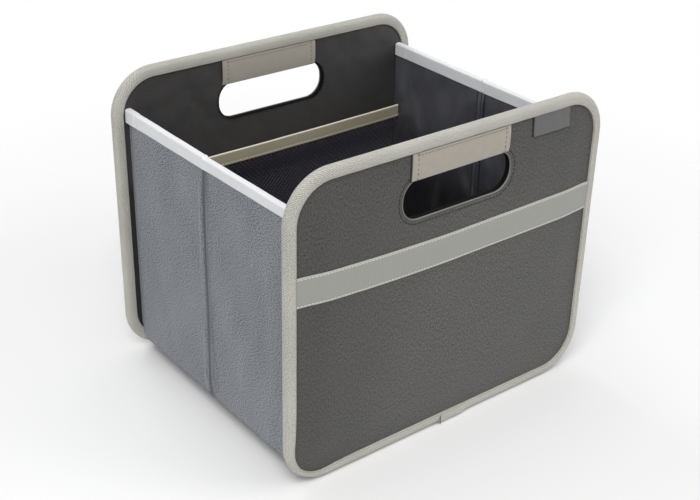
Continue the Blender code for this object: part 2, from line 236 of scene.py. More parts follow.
class Canvas:
    """A node tree of any type, drawn by method calls."""

    def __init__(self, tree: bpy.types.NodeTree) -> None:
        """Starts on an emptied tree."""
        self.tree = tree
        tree.nodes.clear()

    def add(
        self,
        kind: str,
        settings: Optional[dict] = None,
        sockets: Optional[dict] = None,
        output: Union[int, str] = 0,
    ) -> Optional[Wire]:
        """Adds one node.

        Args:
            kind: The node's type.
            settings: Its properties, set before its sockets.
            sockets: Values or wires for its inputs, by name or by number.
            output: The output that the returned wire leaves from.

        Returns:
            A wire from that output, or None for a node without outputs.
        """
        node = self.tree.nodes.new(kind)
        for name, value in (settings or {}).items():
            setattr(node, name, value)
        for key, value in (sockets or {}).items():
            socket = self.pick(node.inputs, key)
            if isinstance(value, Wire):
                self.tree.links.new(value.socket, socket)
            else:
                socket.default_value = value
        return Wire(self, self.pick(node.outputs, output)) if node.outputs else None

    @staticmethod
    def pick(sockets: Sequence[bpy.types.NodeSocket], key: Union[int, str]) -> bpy.types.NodeSocket:
        """The socket with that number, or the one in use with that name.

        Args:
            sockets: A node's inputs or outputs.
            key: Number or name.

        Returns:
            The socket.
        """
        if isinstance(key, int):
            return sockets[key]
        return next(s for s in sockets if s.enabled and s.name == key)

    def parts(self, place: Wire) -> tuple[Wire, Wire]:
        """First two coordinates of a place."""
        first = self.add("ShaderNodeSeparateXYZ", sockets={0: place}, output="X")
        return first, first.sibling("Y")


class Paint(Canvas):
    """A material's node tree, with the textures that cloth needs."""

    def __init__(self, name: str) -> None:
        """Makes the material and empties its tree.

        Args:
            name: The material's name.
        """
        self.material = bpy.data.materials.new(name)
        self.material.use_nodes = True
        super().__init__(self.material.node_tree)

    def cloth_place(self) -> Wire:
        """Place on the flat cloth, in metres."""
        return self.add("ShaderNodeUVMap", {"uv_map": CLOTH_MAP})

    def object_place(self) -> Wire:
        """Place in the box's frame, in metres."""
        return self.add("ShaderNodeTexCoord", output="Object")

    def noise(self, place: Wire, scale: Triple, detail: float = 2.0, offset: Triple = (0, 0, 0)) -> Wire:
        """Noise between 0 and 1.

        Args:
            place: Where to read it, in metres.
            scale: Noise cells a metre along each axis.
            detail: Octaves on top of the first.
            offset: Shift of the noise, in cells.

        Returns:
            The noise value.
        """
        mapped = self.add("ShaderNodeMapping", sockets={"Vector": place, "Scale": scale, "Location": offset})
        return self.add("ShaderNodeTexNoise", sockets={"Vector": mapped, "Scale": 1.0, "Detail": detail})

    def between(self, share: Wire, low: Union[Wire, Colour], high: Union[Wire, Colour]) -> Wire:
        """Colour that goes from low to high as the share goes from 0 to 1."""
        mix = {"Factor": share, "A": low, "B": high}
        return self.add("ShaderNodeMix", {"data_type": "RGBA"}, mix, "Result")

    def shaded(self, share: Wire, base: Colour, low: float, high: float) -> Wire:
        """Colour that goes from low times the base to high times it as the share goes from 0 to 1."""
        return self.between(share, scaled(base, low), scaled(base, high))

    def relief(self, height: Wire, distance: float, under: Optional[Wire] = None) -> Wire:
        """Normal of a surface that rises by the distance where the height is 1.

        Args:
            height: Share of the distance at each point.
            distance: The whole rise.
            under: Normal of the surface that it rises from, where that is bumped too.

        Returns:
            The bumped normal.
        """
        sockets = {"Height": height, "Distance": distance, "Strength": 1.0}
        if under is not None:
            sockets["Normal"] = under
        return self.add("ShaderNodeBump", sockets=sockets)

    def surface(self, colour: Wire, normal: Wire, constants: dict) -> Material:
        """Ends the tree in a Principled shader.

        Args:
            colour: Base colour.
            normal: Bumped normal.
            constants: Values set on the shader's own sockets.

        Returns:
            The finished material.
        """
        sockets = {**constants, "Base Color": colour, "Normal": normal}
        shader = self.add("ShaderNodeBsdfPrincipled", sockets=sockets)
        self.add("ShaderNodeOutputMaterial", sockets={"Surface": shader})
        return self.material


# Finishes


@dataclass(frozen=True)
class WovenCloth:
    """Woven cloth in a melange of tones, with painted light and shade that suit its place on the box.

    Each painted mark is left out unless its values are given: middle is the centre of a lighter middle,
    away from which the cloth takes painted shade; crease the reach of the painted shade before and behind a
    side's crease; the pleat values the place and the width of two painted shadow lines beside it, with a
    painted highlight between them; and the low-shade values two heights and the share of its tone that the
    cloth keeps below them, as painted shade.
    """

    name: str
    colour: Triple
    contrast: float = 0.16
    grain: float = 780.0
    streak: float = 1.3
    thread: float = 0.00062
    depth: float = 0.00012
    roughness: float = 0.85
    sheen: float = 0.15
    crumple: float = 0.0
    crumple_scale: Pair = (38.0, 30.0)
    middle: Optional[Pair] = None
    painted_shade_reach: Pair = (0.05, 0.18)
    painted_rim_tone: float = 0.7
    crease: Optional[Pair] = None
    crease_groove: Pair = (0.0003, 0.0016)
    painted_crease_tone: float = 0.22
    painted_pleat_lines: Optional[Pair] = None
    painted_highlight_edge: Pair = (0.0018, 0.0008)
    painted_pleat_highlight: float = 0.45
    painted_pleat_tones: Pair = (1.8, 0.2)
    painted_low_shade: Optional[Triple] = None

    def material(self) -> Material:
        """Builds the material.

        Returns:
            The material.
        """
        paint = Paint(self.name)
        place = paint.cloth_place()
        along, across = paint.parts(place)
        warp = paint.noise(place, (self.grain * 0.8, self.grain * self.streak, 1))
        weft = paint.noise(place, (self.grain * 2.2, self.grain * 1.5, 1), offset=(7, 3, 0))
        cloud = paint.noise(place, (14, 14, 1), detail=3)
        tone = (warp - 0.5) * 3.4 + (weft - 0.5) * 3.0 + (cloud - 0.5) * 0.3 + 0.5
        base, low, high = linear(*self.colour), 1 - self.contrast, 1 + self.contrast
        colour = paint.shaded(tone, base, low, high)
        # Painted shade away from the middle: the cloth keeps its colour near the middle and darkens towards
        # the edges.
        if self.middle:
            ends = {0: place, 1: (*self.middle, 0.0)}
            away = paint.add("ShaderNodeVectorMath", {"operation": "DISTANCE"}, ends, "Value")
            painted_rim_shade = paint.shaded(tone, base, low * self.painted_rim_tone, high * self.painted_rim_tone)
            colour = paint.between(away.smooth(*self.painted_shade_reach), colour, painted_rim_shade)
        # Painted shade beside the crease, and a painted dark line along its groove.
        if self.crease:
            colour = paint.between(self.crease_shade(along), colour, scaled(base, self.painted_crease_tone))
        # Painted shadow lines beside the crease, with a painted highlight between them.
        if self.painted_pleat_lines:
            for share, level in zip(self.painted_pleat_shares(along), self.painted_pleat_tones):
                colour = paint.between(share, colour, scaled(base, level))
        # Painted shade below the given heights, darker towards the foot.
        if self.painted_low_shade:
            colour = paint.between(across.smooth(*self.painted_low_shade[:2]), scaled(base, self.painted_low_shade[2]), colour)
        turn = 2 * math.pi / self.thread
        weave = (along * turn).sine() * (across * turn).sine()
        under = None
        if self.crumple:
            folds = paint.noise(place, (*self.crumple_scale, 1), detail=1.5, offset=(2, 9, 0))
            under = paint.relief(folds, self.crumple)
        normal = paint.relief(weave * 0.35 + (warp + weft) * 0.6, self.depth, under)
        constants = {"Roughness": self.roughness, "Sheen Weight": self.sheen, "Sheen Roughness": 0.5}
        return paint.surface(colour, normal, constants)

    def crease_shade(self, along: Wire) -> Wire:
        """Painted shade towards the crease from both sides, and a painted dark line along its groove.

        Args:
            along: Distance from the crease.

        Returns:
            The shade, 0 where there is none.
        """
        groove = 1.0 - along.size().smooth(*self.crease_groove)
        front = (along + self.crease[0]).smooth(0.0, self.crease[0])
        rear = 1.0 - along.smooth(0.0, self.crease[1])
        return (front * rear * 0.8).larger(groove * 0.9)

    def painted_pleat_shares(self, along: Wire) -> tuple[Wire, Wire]:
        """Share of the painted highlight between the two lines, and of the painted shadow on them.

        Args:
            along: Distance from the crease.

        Returns:
            The share of the painted highlight and of the painted shadow.
        """
        offset, width = self.painted_pleat_lines
        start, stop = (offset - edge for edge in self.painted_highlight_edge)
        dark = 1.0 - (along.size() - offset).size().smooth(0.0, width)
        light = self.painted_pleat_highlight - along.size().smooth(start, stop) * self.painted_pleat_highlight
        return light, dark


@dataclass(frozen=True)
class RibbedTape:
    """Tape or webbing with ribs that run across it or slant over it, and where it is given a painted
    highlight.

    The painted highlight runs along both edges, where rounded edges would catch the light, or with a fold
    band along the fold in the middle of the tape.
    """

    name: str
    colour: Triple
    pitch: float
    slant: float = 0.0
    groove: float = 0.8
    depth: float = 0.0001
    speckle: float = 0.08
    roughness: float = 0.8
    edge_width: float = 0.0
    painted_edge_highlight: Triple = (210, 210, 205)
    painted_edge_band: float = 0.0012
    fold_band: float = 0.0

    def material(self) -> Material:
        """Builds the material.

        Returns:
            The material.
        """
        paint = Paint(self.name)
        place = paint.cloth_place()
        along, across = paint.parts(place)
        ribs = ((along + across * self.slant) * (2 * math.pi / self.pitch)).sine() * 0.5 + 0.5
        grain = paint.noise(place, (900, 900, 1), detail=3)
        cloud = paint.noise(place, (22, 22, 1), detail=2, offset=(5, 1, 0))
        tone = ribs * 0.75 + (grain - 0.5) * (self.speckle * 10) + (cloud - 0.5) * 0.5 + 0.1
        colour = paint.shaded(tone, linear(*self.colour), self.groove, 2 - self.groove)
        # Painted highlight along the tape's edges or along its fold.
        if self.edge_width:
            colour = paint.between(self.painted_highlight_share(across), colour, linear(*self.painted_edge_highlight))
        normal = paint.relief(ribs + grain * 0.5, self.depth)
        constants = {"Roughness": self.roughness, "Sheen Weight": 0.12, "Sheen Roughness": 0.4}
        return paint.surface(colour, normal, constants)

    def painted_highlight_share(self, across: Wire) -> Wire:
        """Share of the painted highlight over the tape's width.

        Args:
            across: Distance from the tape's first edge.

        Returns:
            The share.
        """
        half = self.edge_width / 2
        middle = (across - half).size()
        if self.fold_band:
            return 1.0 - middle.smooth(self.fold_band * 0.6, self.fold_band)
        return middle.smooth(half - self.painted_edge_band * 1.3, half - self.painted_edge_band * 0.7)


@dataclass(frozen=True)
class TurnedCloth:
    """Matt cloth turned in over an edge, its dark colour painted shade and its fold a painted highlight."""

    name: str
    colour: Triple
    fold_colour: Triple
    fold: Pair
    fade: float = 0.0004

    def material(self) -> Material:
        """Builds the material.

        Returns:
            The material.
        """
        paint = Paint(self.name)
        place = paint.cloth_place()
        across = paint.parts(place)[1]
        grain = paint.noise(place, (800, 800, 1))
        low, high = self.fold
        # Painted highlight along the fold; the rest keeps the dark colour, which is painted shade.
        folded = across.smooth(low * 0.5, low) * (1.0 - across.smooth(high, high + self.fade))
        colour = paint.shaded(grain, linear(*self.colour), 0.8, 1.2)
        colour = paint.between(folded, colour, linear(*self.fold_colour))
        constants = {"Roughness": 0.95, "Specular IOR Level": 0.1}
        return paint.surface(colour, paint.relief(grain, 0.0001), constants)


@dataclass(frozen=True)
class Microfibre:
    """Brushed microfibre with a soft, uneven nap."""

    name: str
    colour: Triple

    def material(self) -> Material:
        """Builds the material.

        Returns:
            The material.
        """
        paint = Paint(self.name)
        place = paint.cloth_place()
        nap = paint.noise(place, (130, 130, 1), detail=4)
        fibre = paint.noise(place, (1700, 1200, 1), detail=2, offset=(3, 3, 0))
        colour = paint.shaded(nap * 0.7 + fibre * 0.5 - 0.1, linear(*self.colour), 0.84, 1.14)
        normal = paint.relief(fibre * 0.6 + nap, 0.00015)
        constants = {"Roughness": 0.92, "Sheen Weight": 0.3, "Sheen Roughness": 0.6}
        return paint.surface(colour, normal, constants)


@dataclass(frozen=True)
class Thread:
    """Sewing thread, strand or moulded board of one colour with a fine grain."""

    name: str
    colour: Triple
    grain: float = 900.0
    depth: float = 0.00005
    roughness: float = 0.65
    spread: float = 0.12

    def material(self) -> Material:
        """Builds the material.

        Returns:
            The material.
        """
        paint = Paint(self.name)
        noise = paint.noise(paint.object_place(), (self.grain, self.grain, self.grain))
        colour = paint.shaded(noise, linear(*self.colour), 1 - self.spread, 1 + self.spread)
        return paint.surface(colour, paint.relief(noise, self.depth), {"Roughness": self.roughness})


Finish = Union[WovenCloth, RibbedTape, TurnedCloth, Microfibre, Thread]


@dataclass(frozen=True)
class Finishes:
    """The finish of every surface of the box."""

    # The cover's middle values give each cover painted shade towards its edges, leaving its middle lighter.
    cover: Finish = WovenCloth(
        "cover_cloth", (75, 74, 71), contrast=0.58, grain=1250.0, streak=0.4, middle=(0.03, 0.09)
    )
    # The side cloth's crease values give it painted shade beside the crease.
    side: Finish = WovenCloth(
        "side_cloth", (113, 117, 123), contrast=0.95, grain=780.0, streak=2.1, depth=0.000004,
        crumple=0.010, crumple_scale=(16, 9), crease=(0.0105, 0.0035),
    )
    # The lining's low-shade values give it painted shade below 0.158 m, as behind the rear pocket's net.
    lining: Finish = WovenCloth(
        "lining_cloth", (42, 40, 39), contrast=0.1, roughness=0.55, crumple=0.003, painted_low_shade=(0.158, 0.170, 0.1)
    )
    # The side lining gets painted shadow lines and a painted highlight beside the crease, and painted shade
    # towards its foot.
    side_lining: Finish = WovenCloth(
        "side_lining_cloth", (76, 77, 84), contrast=0.1, roughness=0.27, sheen=0.05,
        crumple=0.034, crumple_scale=(20, 10), painted_low_shade=(0.095, 0.190, 0.14), painted_pleat_lines=(0.0046, 0.0014),
    )
    floor_lining: Finish = WovenCloth(
        "floor_lining_cloth", (34, 33, 34), contrast=0.1, roughness=0.6, crumple=0.002
    )
    label: Finish = WovenCloth("label_cloth", (91, 92, 91), contrast=0.12, grain=900.0)
    # The turned rim's near-black colour is painted shade, and its lighter fold a painted highlight.
    rim: Finish = TurnedCloth("turned_rim_cloth", (6, 6, 6), (132, 132, 127), fold=(0.0003, 0.0022))
    binding: Finish = RibbedTape(
        "edge_twill", (177, 175, 167), pitch=0.0021, slant=1.0, groove=0.64, depth=0.0002, speckle=0.3
    )
    tape: Finish = RibbedTape(
        "side_tape", (222, 224, 226), pitch=0.0012, slant=0.5, groove=0.88, speckle=0.14
    )
    # The band's lighter edge colour is a painted highlight along both edges.
    band: Finish = RibbedTape(
        "band_webbing", (150, 150, 145), pitch=0.0016, groove=0.97, edge_width=0.0248,
        painted_edge_highlight=(178, 178, 172),
    )
    # The pocket tape's lighter fold colour is a painted highlight along its top fold.
    trim: Finish = RibbedTape(
        "pocket_tape", (160, 152, 130), pitch=0.0011, slant=0.6, groove=0.85, edge_width=0.0260,
        painted_edge_highlight=(222, 216, 196), fold_band=0.0022,
    )
    grip: Finish = Microfibre("grip_microfibre", (155, 148, 137))
    net: Finish = Thread("pocket_net", (58, 55, 66), roughness=0.35)
    board: Finish = Thread("stiff_board", (84, 82, 78), grain=240.0, roughness=0.55)
    pale_thread: Finish = Thread("pale_thread", (224, 224, 217))
    dark_thread: Finish = Thread("dark_thread", (22, 22, 22), roughness=0.7)
    binding_thread: Finish = Thread("binding_thread", (150, 147, 139))
    grip_thread: Finish = Thread("grip_thread", (112, 104, 94))
    trim_thread: Finish = Thread("trim_thread", (214, 207, 186))


FINISHES = Finishes()


@dataclass(frozen=True)
class Stitch:
    """Thread and sizes of a row of stitches."""

    thread: Finish
    pitch: float = 0.0032
    length: float = 0.0026
    width: float = 0.00065


# Meshes


@dataclass
class Shell:
    """A closed mesh before it is an object: vertices, faces and each face corner's place on the cloth."""

    vertices: np.ndarray
    faces: list
    places: np.ndarray

    def outward(self) -> "Shell":
        """The same shell with its faces turned out, by the sign of its volume.

        Returns:
            This shell, or a turned one.
        """
        quads = self.vertices[np.array([face for face in self.faces if len(face) == 4])]
        volume = np.linalg.det(quads[:, :3]).sum() + np.linalg.det(quads[:, [0, 2, 3]]).sum()
        if volume >= 0:
            return self
        turned, places, at = [], [], 0
        for face in self.faces:
            turned.append(face[::-1])
            places.append(self.places[at : at + len(face)][::-1])
            at += len(face)
        return Shell(self.vertices, turned, np.concatenate(places))

    def to_object(self, name: str, material: Material, sharp: float = 50.0) -> Piece:
        """Makes the mesh object at the origin.

        Args:
            name: The piece's name.
            material: Its finish.
            sharp: Edges that bend more than this angle, in degrees, are drawn sharp.

        Returns:
            The linked object.
        """
        ready = self.outward()
        mesh = bpy.data.meshes.new(name)
        mesh.from_pydata(ready.vertices.tolist(), [], ready.faces)
        layer = mesh.uv_layers.new(name=CLOTH_MAP)
        layer.data.foreach_set("uv", ready.places.astype(np.float32).ravel())
        mesh.polygons.foreach_set("use_smooth", np.ones(len(mesh.polygons), bool))
        mesh.set_sharp_from_angle(angle=math.radians(sharp))
        mesh.materials.append(material)
        mesh.update()
        return placed(name, mesh)


@dataclass
class Sheet:
    """Rows and columns of points on the outer face of a cloth, and each point's place on the flat cloth.

    A closed sheet runs round: its last column meets its first.
    """

    points: np.ndarray
    places: np.ndarray
    thickness: float
    facing: np.ndarray
    closed: bool = False

    def normals(self) -> np.ndarray:
        """Unit normals on the side that the sheet faces.

        Returns:
            A normal for each point.
        """
        down = np.gradient(self.points, axis=0)
        if self.closed:
            across = np.roll(self.points, -1, 1) - np.roll(self.points, 1, 1)
        else:
            across = np.gradient(self.points, axis=1)
        found = np.cross(across, down)
        found /= np.maximum(np.linalg.norm(found, axis=2, keepdims=True), 1e-12)
        return found if float((found * self.facing).sum()) > 0 else -found

    def area(self) -> float:
        """Area of the outer face.

        Returns:
            The area in square metres.
        """
        nexts = np.roll(self.points, -1, 1) if self.closed else self.points[:, 1:]
        heres = self.points if self.closed else self.points[:, :-1]
        crossed = np.cross(nexts[1:] - heres[:-1], nexts[:-1] - heres[1:])
        return float(np.linalg.norm(crossed, axis=2).sum() / 2)

    def shell(self) -> Shell:
        """The sheet with its thickness, closed round its edges.

        Returns:
            The closed shell.
        """
        rows, columns = self.points.shape[:2]
        inner = self.points - self.normals() * self.thickness
        vertices = np.concatenate([self.points.reshape(-1, 3), inner.reshape(-1, 3)])
        spans = columns if self.closed else columns - 1

        def corner(r: np.ndarray, c: np.ndarray, layer: int) -> np.ndarray:
            """Vertex, row and column of the points at a row and a column of a layer."""
            return np.stack([layer * rows * columns + r * columns + c % columns, r, c], -1)

        r, c = np.meshgrid(np.arange(rows - 1), np.arange(spans), indexing="ij")
        quads = [
            [corner(r, c, 0), corner(r, c + 1, 0), corner(r + 1, c + 1, 0), corner(r + 1, c, 0)],
            [corner(r, c, 1), corner(r + 1, c, 1), corner(r + 1, c + 1, 1), corner(r, c + 1, 1)],
        ]
        step = np.arange(spans)
        low, high = np.zeros_like(step), np.full_like(step, rows - 1)
        rims = [((low, step + 1), (low, step)), ((high, step), (high, step + 1))]
        if not self.closed:
            step = np.arange(rows - 1)
            low, high = np.zeros_like(step), np.full_like(step, columns - 1)
            rims += [((step, low), (step + 1, low)), ((step + 1, high), (step, high))]
        quads += [[corner(*a, 0), corner(*b, 0), corner(*b, 1), corner(*a, 1)] for a, b in rims]
        joined = np.concatenate([np.stack(quad, -2).reshape(-1, 4, 3) for quad in quads])
        width = self.places.shape[1]
        places = self.places.reshape(-1, 2)[joined[..., 1] * width + joined[..., 2] % width]
        return Shell(vertices, joined[..., 0].tolist(), places.reshape(-1, 2))


def swept_shell(sections: np.ndarray, places: np.ndarray) -> Shell:
    """Solid swept through closed sections, with flat ends.

    Args:
        sections: Rows of section points, each row closed.
        places: Place on the cloth of each point, with one more column than the sections.

    Returns:
        The closed shell.
    """
    rows, columns = sections.shape[:2]
    row, column = np.meshgrid(np.arange(rows - 1), np.arange(columns), indexing="ij")
    around = [(row, column), (row, column + 1), (row + 1, column + 1), (row + 1, column)]
    faces = np.stack([r * columns + c % columns for r, c in around], -1).reshape(-1, 4).tolist()
    spots = np.stack([places[r, c] for r, c in around], -2).reshape(-1, 2)
    first = list(range(columns))[::-1]
    last = [(rows - 1) * columns + c for c in range(columns)]
    ends = np.concatenate([places[0, :columns][::-1], places[-1, :columns]])
    return Shell(sections.reshape(-1, 3), faces + [first, last], np.concatenate([spots, ends]))


def line_object(name: str, lines: Iterable[np.ndarray], closed: bool = False) -> Piece:
    """Mesh object of edges only, which a node tree turns into stitches or strands.

    Args:
        name: The object's name.
        lines: Points of each line.
        closed: Whether each line ends where it starts.

    Returns:
        The linked object.
    """
    vertices, edges = [], []
    for points in lines:
        start, count = len(vertices), len(points)
        vertices += [tuple(point) for point in points]
        edges += [(start + i, start + i + 1) for i in range(count - 1)]
        if closed:
            edges.append((start + count - 1, start))
    mesh = bpy.data.meshes.new(name)
    mesh.from_pydata(vertices, edges, [])
    return placed(name, mesh)


# Geometry Nodes


class Maker(Canvas):
    """A Geometry Nodes tree with named inputs, and the means to run it on an object."""

    def __init__(self, name: str, *numbers: str) -> None:
        """Makes the tree, with a geometry input, the number inputs that are named and a finish.

        Args:
            name: The tree's name.
            numbers: Names of its number inputs.
        """
        super().__init__(bpy.data.node_groups.new(name, "GeometryNodeTree"))
        kinds = {"Geometry": "NodeSocketGeometry", **dict.fromkeys(numbers, "NodeSocketFloat")}
        kinds["Finish"] = "NodeSocketMaterial"
        sockets = [(*item, "INPUT") for item in kinds.items()] + [("Geometry", kinds["Geometry"], "OUTPUT")]
        for socket_name, kind, way in sockets:
            self.tree.interface.new_socket(name=socket_name, in_out=way, socket_type=kind)
        self.entry = self.tree.nodes.new("NodeGroupInput")

    def given(self, name: str) -> Wire:
        """Wire from one of the tree's inputs."""
        return Wire(self, self.entry.outputs[name])

    def curve(self) -> Wire:
        """The given edges as curves."""
        return self.add("GeometryNodeMeshToCurve", sockets={"Mesh": self.given("Geometry")})

    def finish(self, geometry: Wire) -> None:
        """Ends the tree: instances made real, and the finish set.

        Args:
            geometry: What the tree has made.
        """
        real = self.add("GeometryNodeRealizeInstances", sockets={"Geometry": geometry})
        dressing = {"Geometry": real, "Material": self.given("Finish")}
        dressed = self.add("GeometryNodeSetMaterial", sockets=dressing)
        self.add("NodeGroupOutput", sockets={0: dressed})

    def run(self, target: Piece, values: dict) -> Piece:
        """Runs the tree on an object and keeps the result as its plain mesh.

        Args:
            target: The object, whose mesh is replaced.
            values: Values of the tree's inputs by name.

        Returns:
            The same object.
        """
        modifier = target.modifiers.new(self.tree.name, "NODES")
        modifier.node_group = self.tree
        for item in self.tree.interface.items_tree:
            if item.item_type == "SOCKET" and item.in_out == "INPUT" and item.name in values:
                modifier[item.identifier] = values[item.name]
        bpy.context.view_layer.update()
        graph = bpy.context.evaluated_depsgraph_get()
        made = bpy.data.meshes.new_from_object(target.evaluated_get(graph))
        target.modifiers.remove(modifier)
        before = target.data
        target.data = made
        made.name = target.name
        bpy.data.meshes.remove(before)
        if not made.materials:
            made.materials.append(values["Finish"])
        return target


class StitchMaker(Maker):
    """Lays stitches end to end along lines."""

    def __init__(self) -> None:
        """Builds the tree."""
        super().__init__("stitch_row", "Pitch", "Length", "Width")
        spacing = {"Curve": self.curve(), "Length": self.given("Pitch")}
        spaced = self.add("GeometryNodeResampleCurve", {"mode": "LENGTH"}, spacing)
        ball = self.add("GeometryNodeMeshUVSphere", sockets={"Segments": 6, "Rings": 4, "Radius": 0.5})
        smooth = self.add("GeometryNodeSetShadeSmooth", sockets={0: ball})
        heading = self.add("GeometryNodeInputTangent")
        turned = self.add("FunctionNodeAlignRotationToVector", {"axis": "Z"}, {"Vector": heading})
        width = self.given("Width")
        size = self.add("ShaderNodeCombineXYZ", sockets={"X": width, "Y": width, "Z": self.given("Length")})
        laying = {"Points": spaced, "Instance": smooth, "Rotation": turned, "Scale": size}
        self.finish(self.add("GeometryNodeInstanceOnPoints", sockets=laying))


class StrandMaker(Maker):
    """Turns lines into strands of a net."""

    def __init__(self) -> None:
        """Builds the tree."""
        super().__init__("net_strands", "Radius")
        section = {"Resolution": 4, "Radius": self.given("Radius")}
        profile = self.add("GeometryNodeCurvePrimitiveCircle", sockets=section)
        sweep = {"Curve": self.curve(), "Profile Curve": profile, "Fill Caps": True}
        self.finish(self.add("GeometryNodeCurveToMesh", sockets=sweep))


class RidgeMaker(Maker):
    """Raises slanted or straight ridges on a tape, from its place on the flat cloth."""

    def __init__(self) -> None:
        """Builds the tree."""
        super().__init__("tape_ridges", "Pitch", "Slant", "Height")
        kind = {"data_type": "FLOAT_VECTOR"}
        place = self.add("GeometryNodeInputNamedAttribute", kind, {"Name": CLOTH_MAP}, "Attribute")
        along, across = self.parts(place)
        phase = (along + across * self.given("Slant")) / self.given("Pitch")
        rise = (phase * (2 * math.pi)).sine() * self.given("Height")
        normal = self.add("GeometryNodeInputNormal")
        offset = self.add("ShaderNodeVectorMath", {"operation": "SCALE"}, {0: normal, "Scale": rise})
        moved = {"Geometry": self.given("Geometry"), "Offset": offset}
        self.finish(self.add("GeometryNodeSetPosition", sockets=moved))


# The box's own sizes


@dataclass(frozen=True)
class RoundedFrame:
    """A rectangle with round corners in the plane of a wall, and the loops and lines drawn round it."""

    left: float
    right: float
    bottom: float
    top: float
    radius: float

    def loop(
        self, growth: float = 0.0, edge_steps: tuple[int, int] = (40, 30), corner_steps: int = 10
    ) -> np.ndarray:
        """Points round the rectangle, the same number on each stretch whatever its size.

        Args:
            growth: How far the loop lies outside the rectangle.
            edge_steps: Steps on a level edge and on an upright one.
            corner_steps: Steps on a corner.

        Returns:
            Points with x and z, without the first one again at the end.
        """
        radius = self.radius + growth
        left, right = self.left + self.radius, self.right - self.radius
        bottom, top = self.bottom + self.radius, self.top - self.radius
        rounds = []
        for x, z, start in ((right, bottom, -90), (right, top, 0), (left, top, 90), (left, bottom, 180)):
            angles = np.radians(start + np.linspace(0, 90, corner_steps + 1))
            rounds.append(np.stack([x + radius * np.cos(angles), z + radius * np.sin(angles)], 1))
        points = []
        for index, bend in enumerate(rounds):
            steps = edge_steps[0] if index % 2 else edge_steps[1]
            following = rounds[(index + 1) % 4][0]
            share = np.arange(1, steps)[:, None] / steps
            points += [bend, bend[-1] + (following - bend[-1]) * share]
        return np.concatenate(points)

    def outside(self, x: np.ndarray, z: np.ndarray) -> np.ndarray:
        """Distance outside the rectangle, negative inside it.

        Args:
            x: Places along X.
            z: Heights.

        Returns:
            The distance at each place.
        """
        middle_x, middle_z = (self.left + self.right) / 2, (self.bottom + self.top) / 2
        away_x = np.abs(x - middle_x) - (self.right - self.left) / 2 + self.radius
        away_z = np.abs(z - middle_z) - (self.top - self.bottom) / 2 + self.radius
        beyond = np.hypot(np.maximum(away_x, 0), np.maximum(away_z, 0))
        return beyond + np.minimum(np.maximum(away_x, away_z), 0) - self.radius

    def walk(self, start_x: float, overlap: float, step: float) -> tuple[np.ndarray, np.ndarray, np.ndarray]:
        """Evenly spaced points from the bottom edge towards -X, once round and over the start.

        Args:
            start_x: Where on the bottom edge the walk starts.
            overlap: How far it goes on past its start.
            step: Distance from point to point.

        Returns:
            The points, the outward direction at each, and the distance walked.
        """
        loop = self.loop(0.0, (60, 60), 48)[::-1]
        at_bottom = np.abs(loop[:, 1] - self.bottom) < 1e-9
        begin = np.argmin(np.where(at_bottom, np.abs(loop[:, 0] - start_x), np.inf))
        turns = np.concatenate([np.roll(loop, -begin, 0)] * 2)
        turns[0] = (start_x, self.bottom)
        walked = distances(turns)
        once = walked[len(loop)] + (turns[len(loop)][0] - start_x)
        distance = np.arange(0.0, once + overlap, step)
        points = np.stack([np.interp(distance, walked, turns[:, i]) for i in (0, 1)], 1)
        heading = np.gradient(points, axis=0)
        heading /= np.linalg.norm(heading, axis=1, keepdims=True)
        return points, np.stack([-heading[:, 1], heading[:, 0]], 1), distance


@dataclass(frozen=True)
class Wave:
    """A sine wave along a cloth: its height, radians a metre and start."""

    height: float
    rate: float
    start: float = 0.0

    def over(self, along: np.ndarray) -> np.ndarray:
        """Height of the wave at places along the cloth."""
        return self.height * np.sin(along * self.rate + self.start)


@dataclass(frozen=True)
class Folds:
    """Soft folds that a cloth keeps, as a height over its two flat coordinates. The draws are seeded."""

    seed: int
    count: int
    height: float
    width: Pair
    length: Pair
    tilt: Pair

    def over(self, first: np.ndarray, second: np.ndarray, turn: int) -> np.ndarray:
        """Height of the folds.

        Args:
            first: Level coordinate of each point.
            second: Upright coordinate of each point.
            turn: Added to the seed, so that like cloths have unlike folds.

        Returns:
            The height at each point, with both signs.
        """
        draw = np.random.default_rng(self.seed + turn)
        low = (float(first.min()), float(second.min()))
        high = (float(first.max()), float(second.max()))
        total = np.zeros_like(first)
        for _ in range(self.count):
            middle = [draw.uniform(a, b) for a, b in zip(low, high)]
            angle = math.radians(draw.uniform(*self.tilt))
            width, length = draw.uniform(*self.width), draw.uniform(*self.length)
            height = draw.uniform(0.4, 1.0) * draw.choice([-0.7, 1.0])
            along = (first - middle[0]) * math.sin(angle) + (second - middle[1]) * math.cos(angle)
            across = (first - middle[0]) * math.cos(angle) - (second - middle[1]) * math.sin(angle)
            across = across + 0.1 * along**2 / length
            total += height * np.exp(-((across / width) ** 2) - (along / length) ** 2)
        return total * self.height


WALL = RoundedFrame(-0.160, 0.160, 0.0, 0.268, 0.040)
SLOTS = {
    End.FRONT: RoundedFrame(-0.0535, 0.0570, 0.203, 0.2375, 0.016),
    End.REAR: RoundedFrame(-0.0570, 0.0562, 0.203, 0.2375, 0.016),
}


@dataclass(frozen=True)
class Layers:
    """Depths of a wall's layers below its outermost face, and places and thicknesses of the other cloths."""

    half_depth: float = 0.1275
    cover: float = 0.0017
    lining: float = 0.0067
    whole: float = 0.0084
    cover_thickness: float = 0.0008
    lining_thickness: float = 0.0006
    side_face: float = 0.1480
    side_lining: float = 0.1435
    side_top: float = 0.2342
    corner_axis: float = 0.1124
    floor_top: float = 0.0230


LAYERS = Layers()


